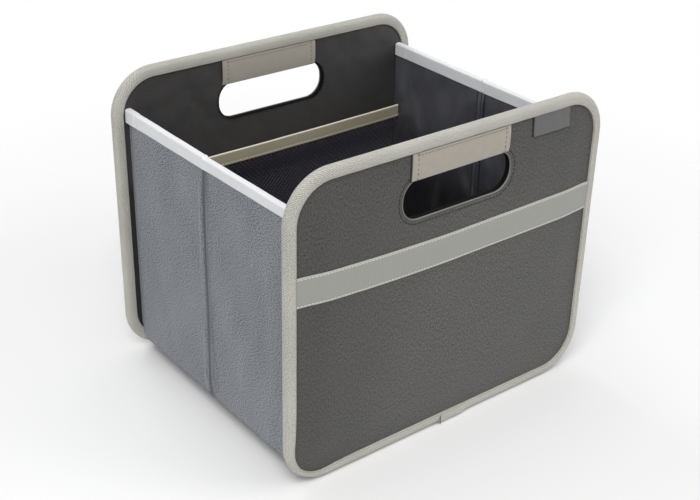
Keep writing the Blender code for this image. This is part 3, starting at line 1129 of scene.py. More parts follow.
class Workshop:
    """What every sub-assembly needs: materials, the makers, and the calls that hand a piece to the frame."""

    def __init__(self) -> None:
        """Builds the node trees."""
        self.materials: dict[Finish, Material] = {}
        self.stitches = StitchMaker()
        self.strands = StrandMaker()
        self.ridges = RidgeMaker()

    def material(self, finish: Finish) -> Material:
        """The material of a finish, built at its first use.

        Args:
            finish: The finish.

        Returns:
            Its material.
        """
        if finish not in self.materials:
            self.materials[finish] = finish.material()
        return self.materials[finish]

    def cloth(
        self, name: str, sheet: Sheet, finish: Finish, flat: Pair, hold: Hold = Hold.STRETCHED
    ) -> Piece:
        """Args:
            name: The piece's name.
            sheet: The sheet.
            finish: Its finish.
            flat: Width and length that it was cut to.
            hold: How it is held.

        Returns:
            The piece.
        """
        piece = sheet.shell().to_object(name, self.material(finish))
        self.declare(piece, sheet.area(), flat, hold)
        return piece

    def sew(self, name: str, lines: Iterable[np.ndarray], stitch: Stitch, closed: bool = False) -> Piece:
        """Makes one object of stitches.

        Args:
            name: The piece's name.
            lines: Points of each line.
            stitch: The thread and its sizes.
            closed: Whether each line ends where it starts.

        Returns:
            The piece.
        """
        values = {"Pitch": stitch.pitch, "Length": stitch.length, "Width": stitch.width}
        values["Finish"] = self.material(stitch.thread)
        return self.stitches.run(line_object(name, lines, closed), values)

    def raise_ridges(self, piece: Piece, finish: Finish, pitch: float, slant: float, height: float) -> None:
        """Raises ridges of a pitch, a slant and a height on a tape."""
        values = {"Pitch": pitch, "Slant": slant, "Height": height, "Finish": self.material(finish)}
        self.ridges.run(piece, values)

    @staticmethod
    def declare(piece: Piece, area: float, flat: Pair, hold: Hold) -> None:
        """Works out a sheet's area, held between 0.31 of its cut and the whole cut, and keeps nothing of it.
        """
        whole = flat[0] * flat[1]
        min(max(area, 0.31 * whole), whole)

    @staticmethod
    def give(piece: Piece, body: str, slot: str, *nodes: str) -> Piece:
        """Hands a piece to one body, with the nodes that it stands for."""
        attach(piece, body)
        return Workshop.name_slot(piece, slot, *nodes)

    @staticmethod
    def bend(
        piece: Piece, bodies: tuple[str, str], start: Triple, end: Triple, slot: str, *nodes: str
    ) -> Piece:
        """Bakes the piece's transform into its mesh, and hides the nodes that it stands for."""
        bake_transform(piece)
        return Workshop.name_slot(piece, slot, *nodes)

    @staticmethod
    def name_slot(piece: Piece, slot: str, *nodes: str) -> Piece:
        """Hides the nodes that the piece stands for, and reports the piece.

        Args:
            piece: The piece.
            slot: Not used.
            nodes: Nodes that it stands for.

        Returns:
            The same piece.
        """
        if nodes:
            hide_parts(*nodes)
        LOG.info("%s: %d faces", piece.name, len(piece.data.polygons))
        return piece


# Walls


@dataclass
class WallDress:
    """Cover, lining, edge binding, grip wrap and stitches of one wall."""

    shop: Workshop
    end: End
    face_inset: float = 0.0018
    face_flat: Pair = (0.3164, 0.2644)
    bulge: float = 0.0022
    binding_face: float = 0.0093
    binding_wall: float = 0.0014
    binding_step: float = 0.00052
    binding_flat: float = 0.0300
    ridge_pitch: float = 0.0021
    ridge_height: float = 0.00018
    lap_start: float = 0.024
    lap_length: float = 0.028
    lap_rise: float = 0.0012
    lap_blend: float = 0.004
    wrap_half: float = 0.0495
    wrap_bottom: float = 0.2354
    wrap_top: float = 0.2582
    wrap_shift: float = 0.0033
    wrap_bend: float = 0.0016
    wrap_thickness: float = 0.0011
    wrap_row_inset: float = 0.005
    wrap_row_height: float = 0.2566
    rim_flat: float = 0.010
    rim_thickness: float = 0.0005
    slot_middle: float = 0.220
    bar_middle: float = 0.250
    slot_stitch: float = 0.0038
    slot_stitch_inside: float = 0.0016
    narrow_corner: Pair = (-0.148, 0.012)
    narrow_reach: float = 0.030
    narrowing: float = 0.75
    lining_folds: Folds = Folds(11, 16, 0.00028, (0.006, 0.016), (0.03, 0.09), (-70, 70))
    near_rings: tuple[float, ...] = (
        0.0, 0.0008, 0.0016, 0.0024, 0.0031, 0.0038, 0.0045, 0.0055, 0.0070, 0.0090
    )
    far_rings: int = 30
    rim_section: tuple[Pair, ...] = (
        (0.0009, 0.0013), (0.0004, 0.0010), (-0.0001, 0.0012), (-0.0002, 0.0018), (0.0, 0.0030),
        (0.0, 0.0050), (-0.0002, 0.0066), (0.0001, 0.0072), (0.0008, 0.0070),
    )
    binding_row: Stitch = Stitch(FINISHES.binding_thread, 0.0023, 0.0020, 0.0007)
    # Dark thread as painted shadow at the end of the binding's lap.
    painted_lap_shadow_stitch: Stitch = Stitch(FINISHES.dark_thread, 0.0013, 0.0016, 0.0009)
    slot_row: Stitch = Stitch(FINISHES.dark_thread, 0.0034, 0.0026, 0.0011)
    grip_row: Stitch = Stitch(FINISHES.grip_thread, 0.0034, 0.0019, 0.0007)
    # Dark thread as painted shade of the gap beside the front wrap.
    grip_side: Stitch = Stitch(FINISHES.dark_thread, 0.0010, 0.0016, 0.0014)

    @property
    def body(self) -> str:
        """The wall's body."""
        return self.named("wall")

    @property
    def slot(self) -> RoundedFrame:
        """Outline of the hand slot."""
        return SLOTS[self.end]

    @property
    def wrap_middle(self) -> float:
        """Place along X of the grip wrap's middle."""
        return -self.end.value * self.wrap_shift

    def named(self, word: str) -> str:
        """A name that starts with the wall's own."""
        return f"{self.end.word}_{word}"

    def face_share(self, plane: np.ndarray) -> np.ndarray:
        """Share of its full width that the binding's face keeps, smaller round one corner of the front.

        Args:
            plane: Places on the wall, with x and z.

        Returns:
            The share at each place.
        """
        away = np.hypot(plane[..., 0] - self.narrow_corner[0], plane[..., 1] - self.narrow_corner[1])
        drawn = self.narrowing if self.end is End.FRONT else 0.0
        return 1 - drawn * hump(away, 0.0, self.narrow_reach)

    def y_at(self, depth: Number) -> Number:
        """Place along Y of a depth below the wall's outermost face."""
        return self.end.value * (LAYERS.half_depth - depth)

    def at(self, plane: np.ndarray, depth: Number) -> np.ndarray:
        """Points in space of places on the wall at a depth."""
        y = np.broadcast_to(self.y_at(np.asarray(depth, float)), plane.shape[:-1])
        return np.stack([plane[..., 0], y, plane[..., 1]], -1)

    def cover_depth(self, x: np.ndarray, z: np.ndarray) -> np.ndarray:
        """Depth of the outer cover's face, which the fabric's fullness brings forward.

        Args:
            x: Places along X.
            z: Heights.

        Returns:
            The depth at each place.
        """
        inside = -WALL.outside(x, z) - self.binding_face
        beyond = self.slot.outside(x, z)
        full = ease(inside, 0.0, 0.032) * (0.3 + 0.7 * ease(beyond, 0.002, 0.030))
        wave = np.sin(x * 41 + 1.3) * np.sin(z * 33 + 0.4) + 0.5 * np.sin(x * 23 - z * 57)
        drawn = np.exp(-np.maximum(inside, 0) / 0.010) * ease(inside, -0.001, 0.002)
        pucker = 0.00022 * drawn * np.sin((x + z) * 290) * np.sin((x - z) * 170 + 0.7)
        seam = 0.00030 * hump(beyond, self.slot_stitch, 0.0009)
        return LAYERS.cover - self.bulge * full - 0.00022 * full * wave - pucker + seam

    def lining_depth(self, x: np.ndarray, z: np.ndarray) -> np.ndarray:
        """Depth of the lining's face, with faint creases from folding.

        Args:
            x: Places along X.
            z: Heights.

        Returns:
            The depth at each place.
        """
        inside = ease(-WALL.outside(x, z) - self.binding_face, 0.0, 0.03)
        return LAYERS.lining + inside * self.lining_folds.over(x, z, self.end.value)

    def build(self) -> None:
        """Makes the pieces that both walls have, and the front's row of painted shade beside the wrap."""
        self.face_cloth("cover", LAYERS.cover_thickness, 1, "outer_fabric")
        self.face_cloth("lining", LAYERS.lining_thickness, -1, "lining")
        self.slot_rim()
        self.binding()
        self.binding_stitches()
        self.lap_end_painted_shadow()
        self.grip_wrap()
        self.grip_stitches()
        if self.end is End.FRONT:
            self.grip_side_row()
        self.slot_stitches()

    def face_cloth(self, word: str, thickness: float, outward: int, slot: str) -> None:
        """Cloth over a face of the board, with the slot cut out.

        Args:
            word: Which cloth, as its node and its finish have it.
            thickness: Its thickness.
            outward: 1 for a cloth that faces out of the box, -1 for one that faces in.
            slot: Its slot.
        """
        rings = [self.slot.loop(growth) for growth in self.near_rings]
        rest = WALL.loop(-self.face_inset) - rings[-1]
        shares = np.linspace(0, 1, self.far_rings)[1:]
        loops = np.stack(rings + [rings[-1] + rest * share for share in shares])
        depth_at = {"cover": self.cover_depth, "lining": self.lining_depth}[word]
        points = self.at(loops, depth_at(loops[..., 0], loops[..., 1]))
        sheet = Sheet(points, loops, thickness, facing(0, outward * self.end.value, 0), closed=True)
        piece = self.shop.cloth(self.named(word + "_cloth"), sheet, getattr(FINISHES, word), self.face_flat)
        self.shop.give(piece, self.body, slot, self.named(word))

    def slot_rim(self) -> None:
        """Turned rim of the cover through the slot, its fold standing a little proud."""
        points = np.stack([self.at(self.slot.loop(growth), depth) for growth, depth in self.rim_section])
        loop = self.slot.loop()
        around = distances(np.vstack([loop, loop[:1]]))
        places = grid(around, distances(np.array(self.rim_section)))
        middle = facing(0, self.y_at(LAYERS.lining / 2), self.slot_middle)
        sheet = Sheet(points, places, self.rim_thickness, middle - points, closed=True)
        flat = (float(around[-1]), self.rim_flat)
        piece = self.shop.cloth(self.named("slot_rim"), sheet, FINISHES.rim, flat, Hold.FOLDED)
        self.shop.give(piece, self.body, "outer_fabric")

    def binding_section(self) -> np.ndarray:
        """Section of the folded tape: distance in from the wall's edge and depth, outer skin first.

        Returns:
            The section's points.
        """
        face, wall, whole = self.binding_face, self.binding_wall, LAYERS.whole
        radius = whole / 2
        turn = [(face, wall), (face + 0.00005, wall * 0.5), (face - 0.0004, 0.0001), (face - 0.0011, 0.0002)]
        shares = [(d, (d - radius) / (face - radius)) for d in (0.0072, 0.0062, 0.0052)]
        flat = [(d, -0.00015 * math.sin(math.pi * share)) for d, share in shares]
        angles = np.radians(np.linspace(90, 0, 7))
        bend = [(radius - radius * math.cos(a), radius - radius * math.sin(a)) for a in angles]
        front = turn + flat + bend
        back = [(d, whole - t) for d, t in reversed(front[:-1])]
        inner = [(0.0022, whole - wall), (0.0015, radius), (0.0022, wall)]
        return np.array(front + back + inner)

    def binding(self) -> None:
        """Twill tape folded round the wall's edge, its end lapped over its start under the bottom edge."""
        plane, outward, walked = WALL.walk(self.lap_start, self.lap_length, self.binding_step)
        section = self.binding_section()
        lap = walked[-1] - self.lap_length
        rise = self.lap_rise * ease(walked, lap - self.lap_blend, lap + self.lap_blend)[:, None]
        half = LAYERS.whole / 2
        beyond = np.maximum(section[None, :, 0] - half, 0.0) * (self.face_share(plane)[:, None] - 1)
        inward = section[None, :, 0] + beyond - rise
        depth = half + (section[None, :, 1] - half) * (1 + rise / half)
        solid = self.at(plane[:, None, :] - outward[:, None, :] * inward[..., None], depth)
        across = distances(np.vstack([section, section[:1]]))
        shell = swept_shell(solid, grid(across, walked)[..., ::-1])
        piece = shell.to_object(self.named("edge_binding"), self.shop.material(FINISHES.binding))
        self.shop.raise_ridges(piece, FINISHES.binding, self.ridge_pitch, 1.0, self.ridge_height)
        flat = (self.binding_flat, float(walked[-1]))
        self.shop.declare(piece, flat[0] * flat[1], flat, Hold.FOLDED)
        self.shop.give(piece, self.body, "binding", self.named("binding"))

    def binding_stitches(self) -> None:
        """Stitches along the binding's inner edge on both faces."""
        edge = WALL.loop(0.0, (60, 50), 16)
        full = WALL.loop(-(self.binding_face - 0.0005), (60, 50), 16)
        loop = edge + (full - edge) * (0.45 + 0.55 * self.face_share(edge)[:, None])
        lines = [self.at(loop, 0.00015), self.at(loop, LAYERS.whole - 0.00015)]
        piece = self.shop.sew(self.named("binding_stitches"), lines, self.binding_row, closed=True)
        self.shop.give(piece, self.body, "binding")

    def lap_end_painted_shadow(self) -> None:
        """Row of dark thread across the binding's lapped end, as painted shadow at the step where the lap
        ends.
        """
        points, outward, _ = WALL.walk(self.lap_start, self.lap_length, self.binding_step)
        inward = np.linspace(0.0018 - self.lap_rise, self.binding_face - 0.0012, 12)[:, None]
        row = self.at(points[-2] - outward[-2] * inward, -self.lap_rise - 0.0003)
        self.shop.give(self.shop.sew(self.named("lap_end_painted_shadow"), [row], self.painted_lap_shadow_stitch), self.body, "binding")

    def slot_stitches(self) -> None:
        """Stitches round the slot on both faces."""
        loop, near = self.slot.loop(self.slot_stitch), self.slot.loop(self.slot_stitch_inside)
        outer = self.cover_depth(loop[:, 0], loop[:, 1]) - 0.00005
        inner = self.lining_depth(near[:, 0], near[:, 1]) + 0.00005
        lines = [self.at(loop, outer), self.at(near, inner)]
        piece = self.shop.sew(self.named("slot_stitches"), lines, self.slot_row, closed=True)
        self.shop.give(piece, self.body, "outer_fabric")

    def wrap_section(self) -> np.ndarray:
        """Line of the wrap's outer face, from the outer leaf's top, under the bar and up the inner leaf.

        Returns:
            Depth and height of each point.
        """
        low, bend = self.wrap_bottom, self.wrap_bend
        heights = np.linspace(self.wrap_top, low + bend, 12)
        outer = [(0.0003 - 0.0008 * math.sin(math.pi * i / 11) ** 0.7, z) for i, z in enumerate(heights)]
        turns = np.radians(np.linspace(0, 180, 13)[1:-1])
        middle, half = LAYERS.whole / 2, 0.0040
        under = [(middle - half * math.cos(a), low + bend - bend * math.sin(a) ** 0.6) for a in turns]
        inner = [(LAYERS.whole - depth, z) for depth, z in reversed(outer)]
        return np.array(outer + under + inner)

    def grip_wrap(self) -> None:
        """Microfibre wrapped round the bar above the slot."""
        section = self.wrap_section()
        across = np.linspace(-self.wrap_half, self.wrap_half, 56)
        full = ease(self.wrap_half - np.abs(across), 0.0, 0.004)
        seam = hump(np.abs(across), self.wrap_half - self.wrap_row_inset, 0.0009)
        middle = LAYERS.whole / 2
        sink = 0.00035 * (1 - full) + 0.00030 * seam
        depth = section[:, 0][:, None] + np.sign(middle - section[:, 0])[:, None] * sink[None, :]
        points = self.at(grid(across + self.wrap_middle, section[:, 1]), depth)
        length = distances(section)
        centre = facing(0, self.y_at(middle), self.bar_middle)
        sheet = Sheet(points, grid(across, length), self.wrap_thickness, (points - centre) * facing(0, 1, 1))
        flat = (2 * self.wrap_half, float(length[-1]))
        piece = self.shop.cloth(self.named("grip_cloth"), sheet, FINISHES.grip, flat, Hold.FOLDED)
        self.shop.give(piece, self.body, "grip", self.named("grip_wrap"))

    def grip_stitches(self) -> None:
        """Two upright rows and a level one on both leaves of the wrap."""
        inset = self.wrap_half - self.wrap_row_inset
        heights = np.linspace(self.wrap_bottom + 0.002, self.wrap_top - 0.001, 8)
        level = np.linspace(-inset, inset, 20) + self.wrap_middle
        rows = [np.stack([np.full(8, x + self.wrap_middle), heights], 1) for x in (-inset, inset)]
        rows.append(np.stack([level, np.full(20, self.wrap_row_height)], 1))
        lines = [self.at(row, depth) for depth in (-0.00030, LAYERS.whole + 0.00030) for row in rows]
        self.shop.give(self.shop.sew(self.named("grip_stitches"), lines, self.grip_row), self.body, "grip")

    def grip_side_row(self) -> None:
        """Row of dark thread beside the wrap, as painted shade of the gap where the slot's cut runs on up."""
        heights = np.linspace(self.wrap_bottom + 0.0010, self.wrap_top - 0.0006, 24)
        plane = np.stack([np.full(24, self.wrap_middle - self.wrap_half - 0.0007), heights], 1)
        row = self.at(plane, self.cover_depth(plane[:, 0], plane[:, 1]) - 0.00012)
        piece = self.shop.sew(self.named("grip_side_row"), [row], self.grip_side)
        self.shop.give(piece, self.body, "outer_fabric")


@dataclass
class FrontTrim:
    """Band and bare label on the outside of the front wall."""

    wall: WallDress
    band_half: float = 0.1505
    band_height: float = 0.0248
    band_middle: float = 0.1697
    band_rise: float = 0.0060
    band_fall: float = 0.0012
    band_reach: float = 0.15
    band_lift: float = 0.00115
    band_thickness: float = 0.0010
    rib_pitch: float = 0.0016
    rib_height: float = 0.00004
    label_left: float = 0.0785
    label_right: float = 0.1185
    label_bottom: float = 0.2420
    label_top: float = 0.2588
    label_thickness: float = 0.0007
    band_row: Stitch = Stitch(FINISHES.pale_thread, width=0.0005)
    # Dark thread as painted shadow of the slit at the label's left edge.
    label_slit_shadow_stitch: Stitch = Stitch(FINISHES.dark_thread, 0.0013, 0.0016, 0.0013)

    def build(self) -> None:
        """Makes the band and its stitches, and the label with its line of painted shadow."""
        self.band()
        self.band_stitches()
        self.label()

    def outer(self, x: np.ndarray, z: np.ndarray, off: float) -> np.ndarray:
        """Points a little way off the cover's face."""
        return self.wall.at(np.stack([x, z], -1), self.wall.cover_depth(x, z) - off)

    def band_centre(self, x: np.ndarray) -> np.ndarray:
        """Height of the band's middle line, which climbs towards both ends, more to the left."""
        left, right = (np.clip(sign * x / self.band_reach, 0, 1) for sign in (-1, 1))
        return self.band_middle + self.band_rise * left**1.6 + self.band_fall * right

    def band(self) -> None:
        """Ribbed band across the wall, its ends under the binding."""
        shop = self.wall.shop
        x, share = np.meshgrid(np.linspace(-self.band_half, self.band_half, 900), np.linspace(-0.5, 0.5, 11))
        centre = self.band_centre(x)
        z = centre + share * self.band_height
        depth = np.minimum(self.wall.cover_depth(x, z), self.wall.cover_depth(x, centre) + 0.0004)
        edge = 0.00035 * ease(np.abs(share), 0.40, 0.5)
        points = self.wall.at(np.stack([x, z], -1), depth - self.band_lift + edge)
        places = np.stack([x, (share + 0.5) * self.band_height], -1)
        sheet = Sheet(points, places, self.band_thickness, facing(0, -1, 0))
        flat = (self.band_height, 2 * self.band_half)
        piece = shop.cloth("front_band_webbing", sheet, FINISHES.band, flat)
        shop.raise_ridges(piece, FINISHES.band, self.rib_pitch, 0.0, self.rib_height)
        shop.give(piece, self.wall.body, "band", "front_band")

    def band_stitches(self) -> None:
        """A row along each edge of the band."""
        x = np.linspace(-self.band_half + 0.001, self.band_half - 0.001, 80)
        heights = [self.band_centre(x) + share * self.band_height for share in (-0.44, 0.44)]
        lines = [self.outer(x, z, self.band_lift) for z in heights]
        sewn = self.wall.shop.sew("front_band_stitches", lines, self.band_row)
        self.wall.shop.give(sewn, self.wall.body, "band")

    def label(self) -> None:
        """Small bare label that hangs from under the binding, with a painted shadow line at its left edge."""
        shop, left, right = self.wall.shop, self.label_left, self.label_right
        x, z = np.meshgrid(np.linspace(left, right, 34), np.linspace(self.label_top, self.label_bottom, 16))
        middle = (left + right) / 2
        swell = 0.6 + 0.4 * np.cos((x - middle) * 120)
        lift = 0.0012 + 0.0006 * ease(self.label_top - z, 0.004, 0.017) * swell
        fold = 0.0005 * ease(x, left + 0.0016, left)
        places = np.stack([x, z], -1)
        points = self.wall.at(places, self.wall.cover_depth(x, z) - lift + fold)
        sheet = Sheet(points, places, self.label_thickness, facing(0, -1, 0))
        flat = (right - left, self.label_top - self.label_bottom)
        piece = shop.cloth("front_label_cloth", sheet, FINISHES.label, flat)
        shop.give(piece, self.wall.body, "label", "front_label")
        # Dark thread just left of the label: painted shadow of the slit there.
        heights = np.linspace(self.label_bottom + 0.0005, self.label_top - 0.001, 10)
        edge = self.outer(np.full(10, left - 0.0004), heights, 0.0007)
        shop.give(shop.sew("front_label_stitches", [edge], self.label_slit_shadow_stitch), self.wall.body, "label")


@dataclass
class PocketDress:
    """Net pocket on the inside of the rear wall, with the tape over its top."""

    wall: WallDress
    half_width: float = 0.1430
    bottom: float = 0.0240
    bend_bottom: float = 0.1418
    bend_top: float = 0.1630
    near: float = 0.1202
    far: float = 0.1142
    top: float = 0.1745
    pitch: float = 0.0047
    strand: float = 0.00050
    shortest: float = 0.002
    trim_bottom: float = 0.1640
    trim_top: float = 0.1760
    trim_half_depth: float = 0.0011
    trim_thickness: float = 0.0008
    trim_sag: float = 0.0012
    trim_seam: float = 0.0015
    trim_waves: tuple[Wave, Wave] = (Wave(0.00010, 95), Wave(0.00008, 33, 1))
    trim_row: Stitch = Stitch(FINISHES.trim_thread, width=0.0007)

    def y_at(self, z: np.ndarray) -> np.ndarray:
        """Place along Y of the net at a height."""
        return self.near + (self.far - self.near) * ease(z, self.bend_bottom - 0.004, self.bend_top)

    def build(self) -> None:
        """Makes the net, its tape and the tape's stitches."""
        self.net()
        self.trim()

    def strand_line(self, foot: float, lean: int, heights: np.ndarray) -> Optional[np.ndarray]:
        """One slanted strand between the net's edges.

        Args:
            foot: Place along X where it would start at the bottom.
            lean: 1 for a strand that leans to +X, -1 for the other way.
            heights: Heights of its points at full length.

        Returns:
            Its points, or None where it would miss the net.
        """
        ends = [lean * (edge - foot) + self.bottom for edge in (-self.half_width, self.half_width)]
        low, high = max(min(ends), self.bottom), min(max(ends), self.top)
        if high - low <= self.shortest:
            return None
        z = np.concatenate([[low], heights[(heights > low) & (heights < high)], [high]])
        return np.stack([foot + lean * (z - self.bottom), self.y_at(z), z], 1)

    def net(self) -> None:
        """Diamond net of crossing strands."""
        shop, height = self.wall.shop, self.top - self.bottom
        heights = np.concatenate([[self.bottom], np.linspace(self.bend_bottom - 0.005, self.top, 9)])
        feet = np.arange(-self.half_width - height, self.half_width + height, self.pitch)
        found = [self.strand_line(foot, lean, heights) for lean in (-1, 1) for foot in feet]
        net = line_object("pocket_net_strands", [line for line in found if line is not None])
        shop.strands.run(net, {"Radius": self.strand, "Finish": shop.material(FINISHES.net)})
        flat = (2 * self.half_width, height)
        shop.declare(net, flat[0] * flat[1], flat, Hold.STRETCHED)
        shop.give(net, self.wall.body, "net", "mesh_pocket")

    def trim_section(self) -> np.ndarray:
        """Line of the tape's outer face over the net's top: distance out of its middle, and height.

        Returns:
            The section's points.
        """
        half, turns = self.trim_half_depth, np.radians(np.linspace(0, 180, 9))
        legs = np.linspace(self.trim_bottom, self.trim_top - half, 7)
        bend = [(-half * math.cos(a), self.trim_top - half + half * math.sin(a)) for a in turns[1:-1]]
        return np.array([(-half, z) for z in legs] + bend + [(half, z) for z in legs[::-1]])

    def trim(self) -> None:
        """Tape folded over the net's top edge."""
        shop, profile, seam = self.wall.shop, self.trim_section(), self.trim_bottom + self.trim_seam
        x = np.linspace(-self.half_width, self.half_width, 120)
        wave = sum(part.over(x) for part in self.trim_waves)
        sag = -self.trim_sag * np.cos(np.pi * x / (2 * self.half_width))
        drawn = profile[:, 0] - 0.0002 * hump(profile[:, 1], seam, 0.0008) * np.sign(profile[:, 0])
        y = self.far + drawn[:, None] + wave[None, :]
        z = profile[:, 1][:, None] + sag[None, :]
        points = np.stack(np.broadcast_arrays(x[None, :], y, z), -1)
        length = distances(profile)
        centre = facing(0, self.far, 0.169)
        sheet = Sheet(points, grid(x, length), self.trim_thickness, (points - centre) * facing(0, 1, 1))
        flat = (float(length[-1]), 2 * self.half_width)
        piece = shop.cloth("pocket_top_tape", sheet, FINISHES.trim, flat, Hold.FOLDED)
        shop.give(piece, self.wall.body, "pocket_trim", "pocket_trim")
        row = np.stack([x, self.far - self.trim_half_depth + wave + 0.00020, seam + sag], 1)
        shop.give(shop.sew("pocket_tape_stitches", [row], self.trim_row), self.wall.body, "pocket_trim")


# Sides


@dataclass(frozen=True)
class TapeHeights:
    """Heights of a side's top tape at the crease, each with its rise towards the walls.

    The rear and the front half have a top and its rise, and the foot is one height with a rise to each wall.
    """

    rear: Pair
    front: Pair
    foot: Triple


TAPE_HEIGHTS = {
    Side.LEFT: TapeHeights((0.2362, -0.0008), (0.2353, 0.0019), (0.2260, -0.0020, 0.0026)),
    Side.RIGHT: TapeHeights((0.2354, 0.0008), (0.2353, 0.0002), (0.2245, 0.0004, 0.0012)),
}


@dataclass
class SideDress:
    """Outer cloth, linings, top tape and corner strips of one folding side."""

    shop: Workshop
    side: Side
    cloth_end: float = 0.1072
    cloth_bottom: float = 0.0168
    cloth_flat: float = 0.2216
    cloth_limit: float = 0.00165
    strip_start: float = 0.1060
    strip_end: float = 0.1203
    strip_lap: float = 0.00015
    strip_inward: float = 0.0022
    split_flat: float = 0.0102
    lining_bottom: float = 0.0172
    lining_flat: Pair = (0.1105, 0.2212)
    lining_keep: float = 0.08
    hem_top: float = 0.2235
    bridge_half: float = 0.0060
    bridge_bottom: float = 0.0176
    bridge_out: float = 0.14416
    bridge_thickness: float = 0.0002
    tape_reach: float = 0.1085
    tape_flat: float = 0.217
    tape_half: float = 0.00285
    tape_middle: float = 0.14575
    tape_bend: float = 0.0012
    tape_turn: float = 0.0022
    tape_leg: float = 0.0100
    tape_thickness: float = 0.00054
    tape_end: float = 0.108
    crease_blend: float = 0.0035
    crease_out: float = 0.1498
    blend_height: float = 0.12
    corner_blend: Pair = (0.1186, 0.1078)
    fullness: float = 0.0008
    front_lip: Pair = (-0.0058, 0.0034)
    front_wave: Wave = Wave(0.3, 52)
    rear_lip: Pair = (0.0046, 0.0032)
    rear_wave: Wave = Wave(0.3, 38, 1)
    rear_lip_share: float = 0.8
    lip_height: float = 0.0013
    cloth_folds: Folds = Folds(31, 20, 0.0013, (0.007, 0.018), (0.03, 0.10), (-40, 40))
    lining_folds: Folds = Folds(53, 16, 0.0022, (0.007, 0.018), (0.04, 0.11), (-30, 30))
    tape_waves: tuple[Wave, Wave] = (Wave(0.00016, 130, 0.5), Wave(0.00012, 47))
    tape_row: Stitch = Stitch(FINISHES.pale_thread, width=0.0005)

    def x_at(self, out: Number) -> Number:
        """Place along X of a distance out from the box's middle plane."""
        return self.side.value * out

    def at(self, out: np.ndarray, y: np.ndarray, z: np.ndarray) -> np.ndarray:
        """Points at distances out from the box's middle plane."""
        return np.stack(np.broadcast_arrays(self.x_at(out), y, z), -1)

    def named(self, word: str) -> str:
        """A name that starts with the side's own."""
        return f"{self.side.word}_{word}"

    def panel(self, end: End) -> str:
        """Body of the half panel next to a wall."""
        return self.named(f"{end.word}_panel")

    def build(self) -> None:
        """Makes everything of the side."""
        self.outer_cloth()
        self.crease_strip()
        self.top_tape()
        for end in End:
            self.lining(end)
            self.corner(end)

    def hem(self, z: np.ndarray, low: Pair, fade: float) -> np.ndarray:
        """Share of its fullness that a cloth has at a height, drawn in at its foot and under the tape."""
        return ease(z, *low) * ease(self.hem_top - z, 0.0, fade)

    def outer_cloth(self) -> None:
        """Outer cloth of both half panels, drawn in at the crease between them."""
        heights = np.linspace(self.cloth_bottom, LAYERS.side_top, 90)
        y, z = np.meshgrid(self.fine_middle(self.cloth_end, 170), heights)
        hem = self.hem(z, (self.cloth_bottom, 0.036), 0.022)
        free = hem * ease(self.cloth_end - np.abs(y), 0.0, 0.020) * ease(np.abs(y), 0.001, 0.007)
        rise = free * (self.fullness + self.cloth_folds.over(y, z, self.side.value))
        front_lip = hump(y, *self.front_lip) * (1 + self.front_wave.over(z))
        rear_lip = self.rear_lip_share * hump(y, *self.rear_lip) * (1 + self.rear_wave.over(z))
        full = np.clip(rise + self.lip_height * hem * (front_lip + rear_lip), 0.0, self.cloth_limit)
        points, places = self.at(LAYERS.side_face + full, y, z), np.stack([y, z], -1)
        sheet = Sheet(points, places, LAYERS.cover_thickness, facing(self.side.value, 0, 0))
        flat = (2 * self.cloth_end, self.cloth_flat)
        piece = self.shop.cloth(self.named("side_cloth"), sheet, FINISHES.side, flat)
        self.bend_at_crease(piece, "side_fabric", *[self.named(f"{end.word}_cover") for end in End])

    @staticmethod
    def fine_middle(reach: float, count: int) -> np.ndarray:
        """Places from -reach to reach, closer together towards the middle."""
        share = np.linspace(-1, 1, count)
        return reach * (0.45 * share + 0.55 * np.sign(share) * share**2)

    def bend_at_crease(self, piece: Piece, slot: str, *nodes: str) -> None:
        """Bakes a piece's transform for the crease between the two half panels, and hides the nodes that it
        stands for.

        Args:
            piece: The piece.
            slot: Its slot.
            nodes: Nodes that it stands for.
        """
        bodies = (self.panel(End.REAR), self.panel(End.FRONT))
        ends = [(self.x_at(self.crease_out), sign * self.crease_blend, self.blend_height) for sign in (1, -1)]
        self.shop.bend(piece, bodies, *ends, slot, *nodes)

    def crease_strip(self) -> None:
        """Narrow strip behind the linings that closes the crease, its darker finish a painted shade in the
        groove.
        """
        half, bottom = self.bridge_half, self.bridge_bottom
        y, z = np.meshgrid(np.linspace(-half, half, 15), np.linspace(bottom, LAYERS.side_top, 60))
        points, places = self.at(self.bridge_out, y, z), np.stack([y, z], -1)
        sheet = Sheet(points, places, self.bridge_thickness, facing(-self.side.value, 0, 0))
        flat = (2 * half, LAYERS.side_top - bottom)
        piece = self.shop.cloth(self.named("crease_strip"), sheet, FINISHES.floor_lining, flat)
        self.bend_at_crease(piece, "lining")

    def tape_section(self, shrink: float) -> np.ndarray:
        """Outer face of the folded tape, from the outer leg's foot over the top.

        Args:
            shrink: How much smaller the section is than the full one.

        Returns:
            Distance out, share of the leg's height and height above the leg's top, for each point.
        """
        half, turn = self.tape_half - shrink, self.tape_turn
        angles = np.radians(np.linspace(0, 82, 7))
        over = [(half - turn * (1 - math.cos(a)), 1.0, (turn * 0.55 - shrink) * math.sin(a)) for a in angles]
        right = [(half, share, 0.0) for share in np.linspace(0, 1, 7)[:-1]] + over
        section = right + [(-out, share, high) for out, share, high in reversed(right)]
        return np.array([(self.tape_middle + out, share, high) for out, share, high in section])

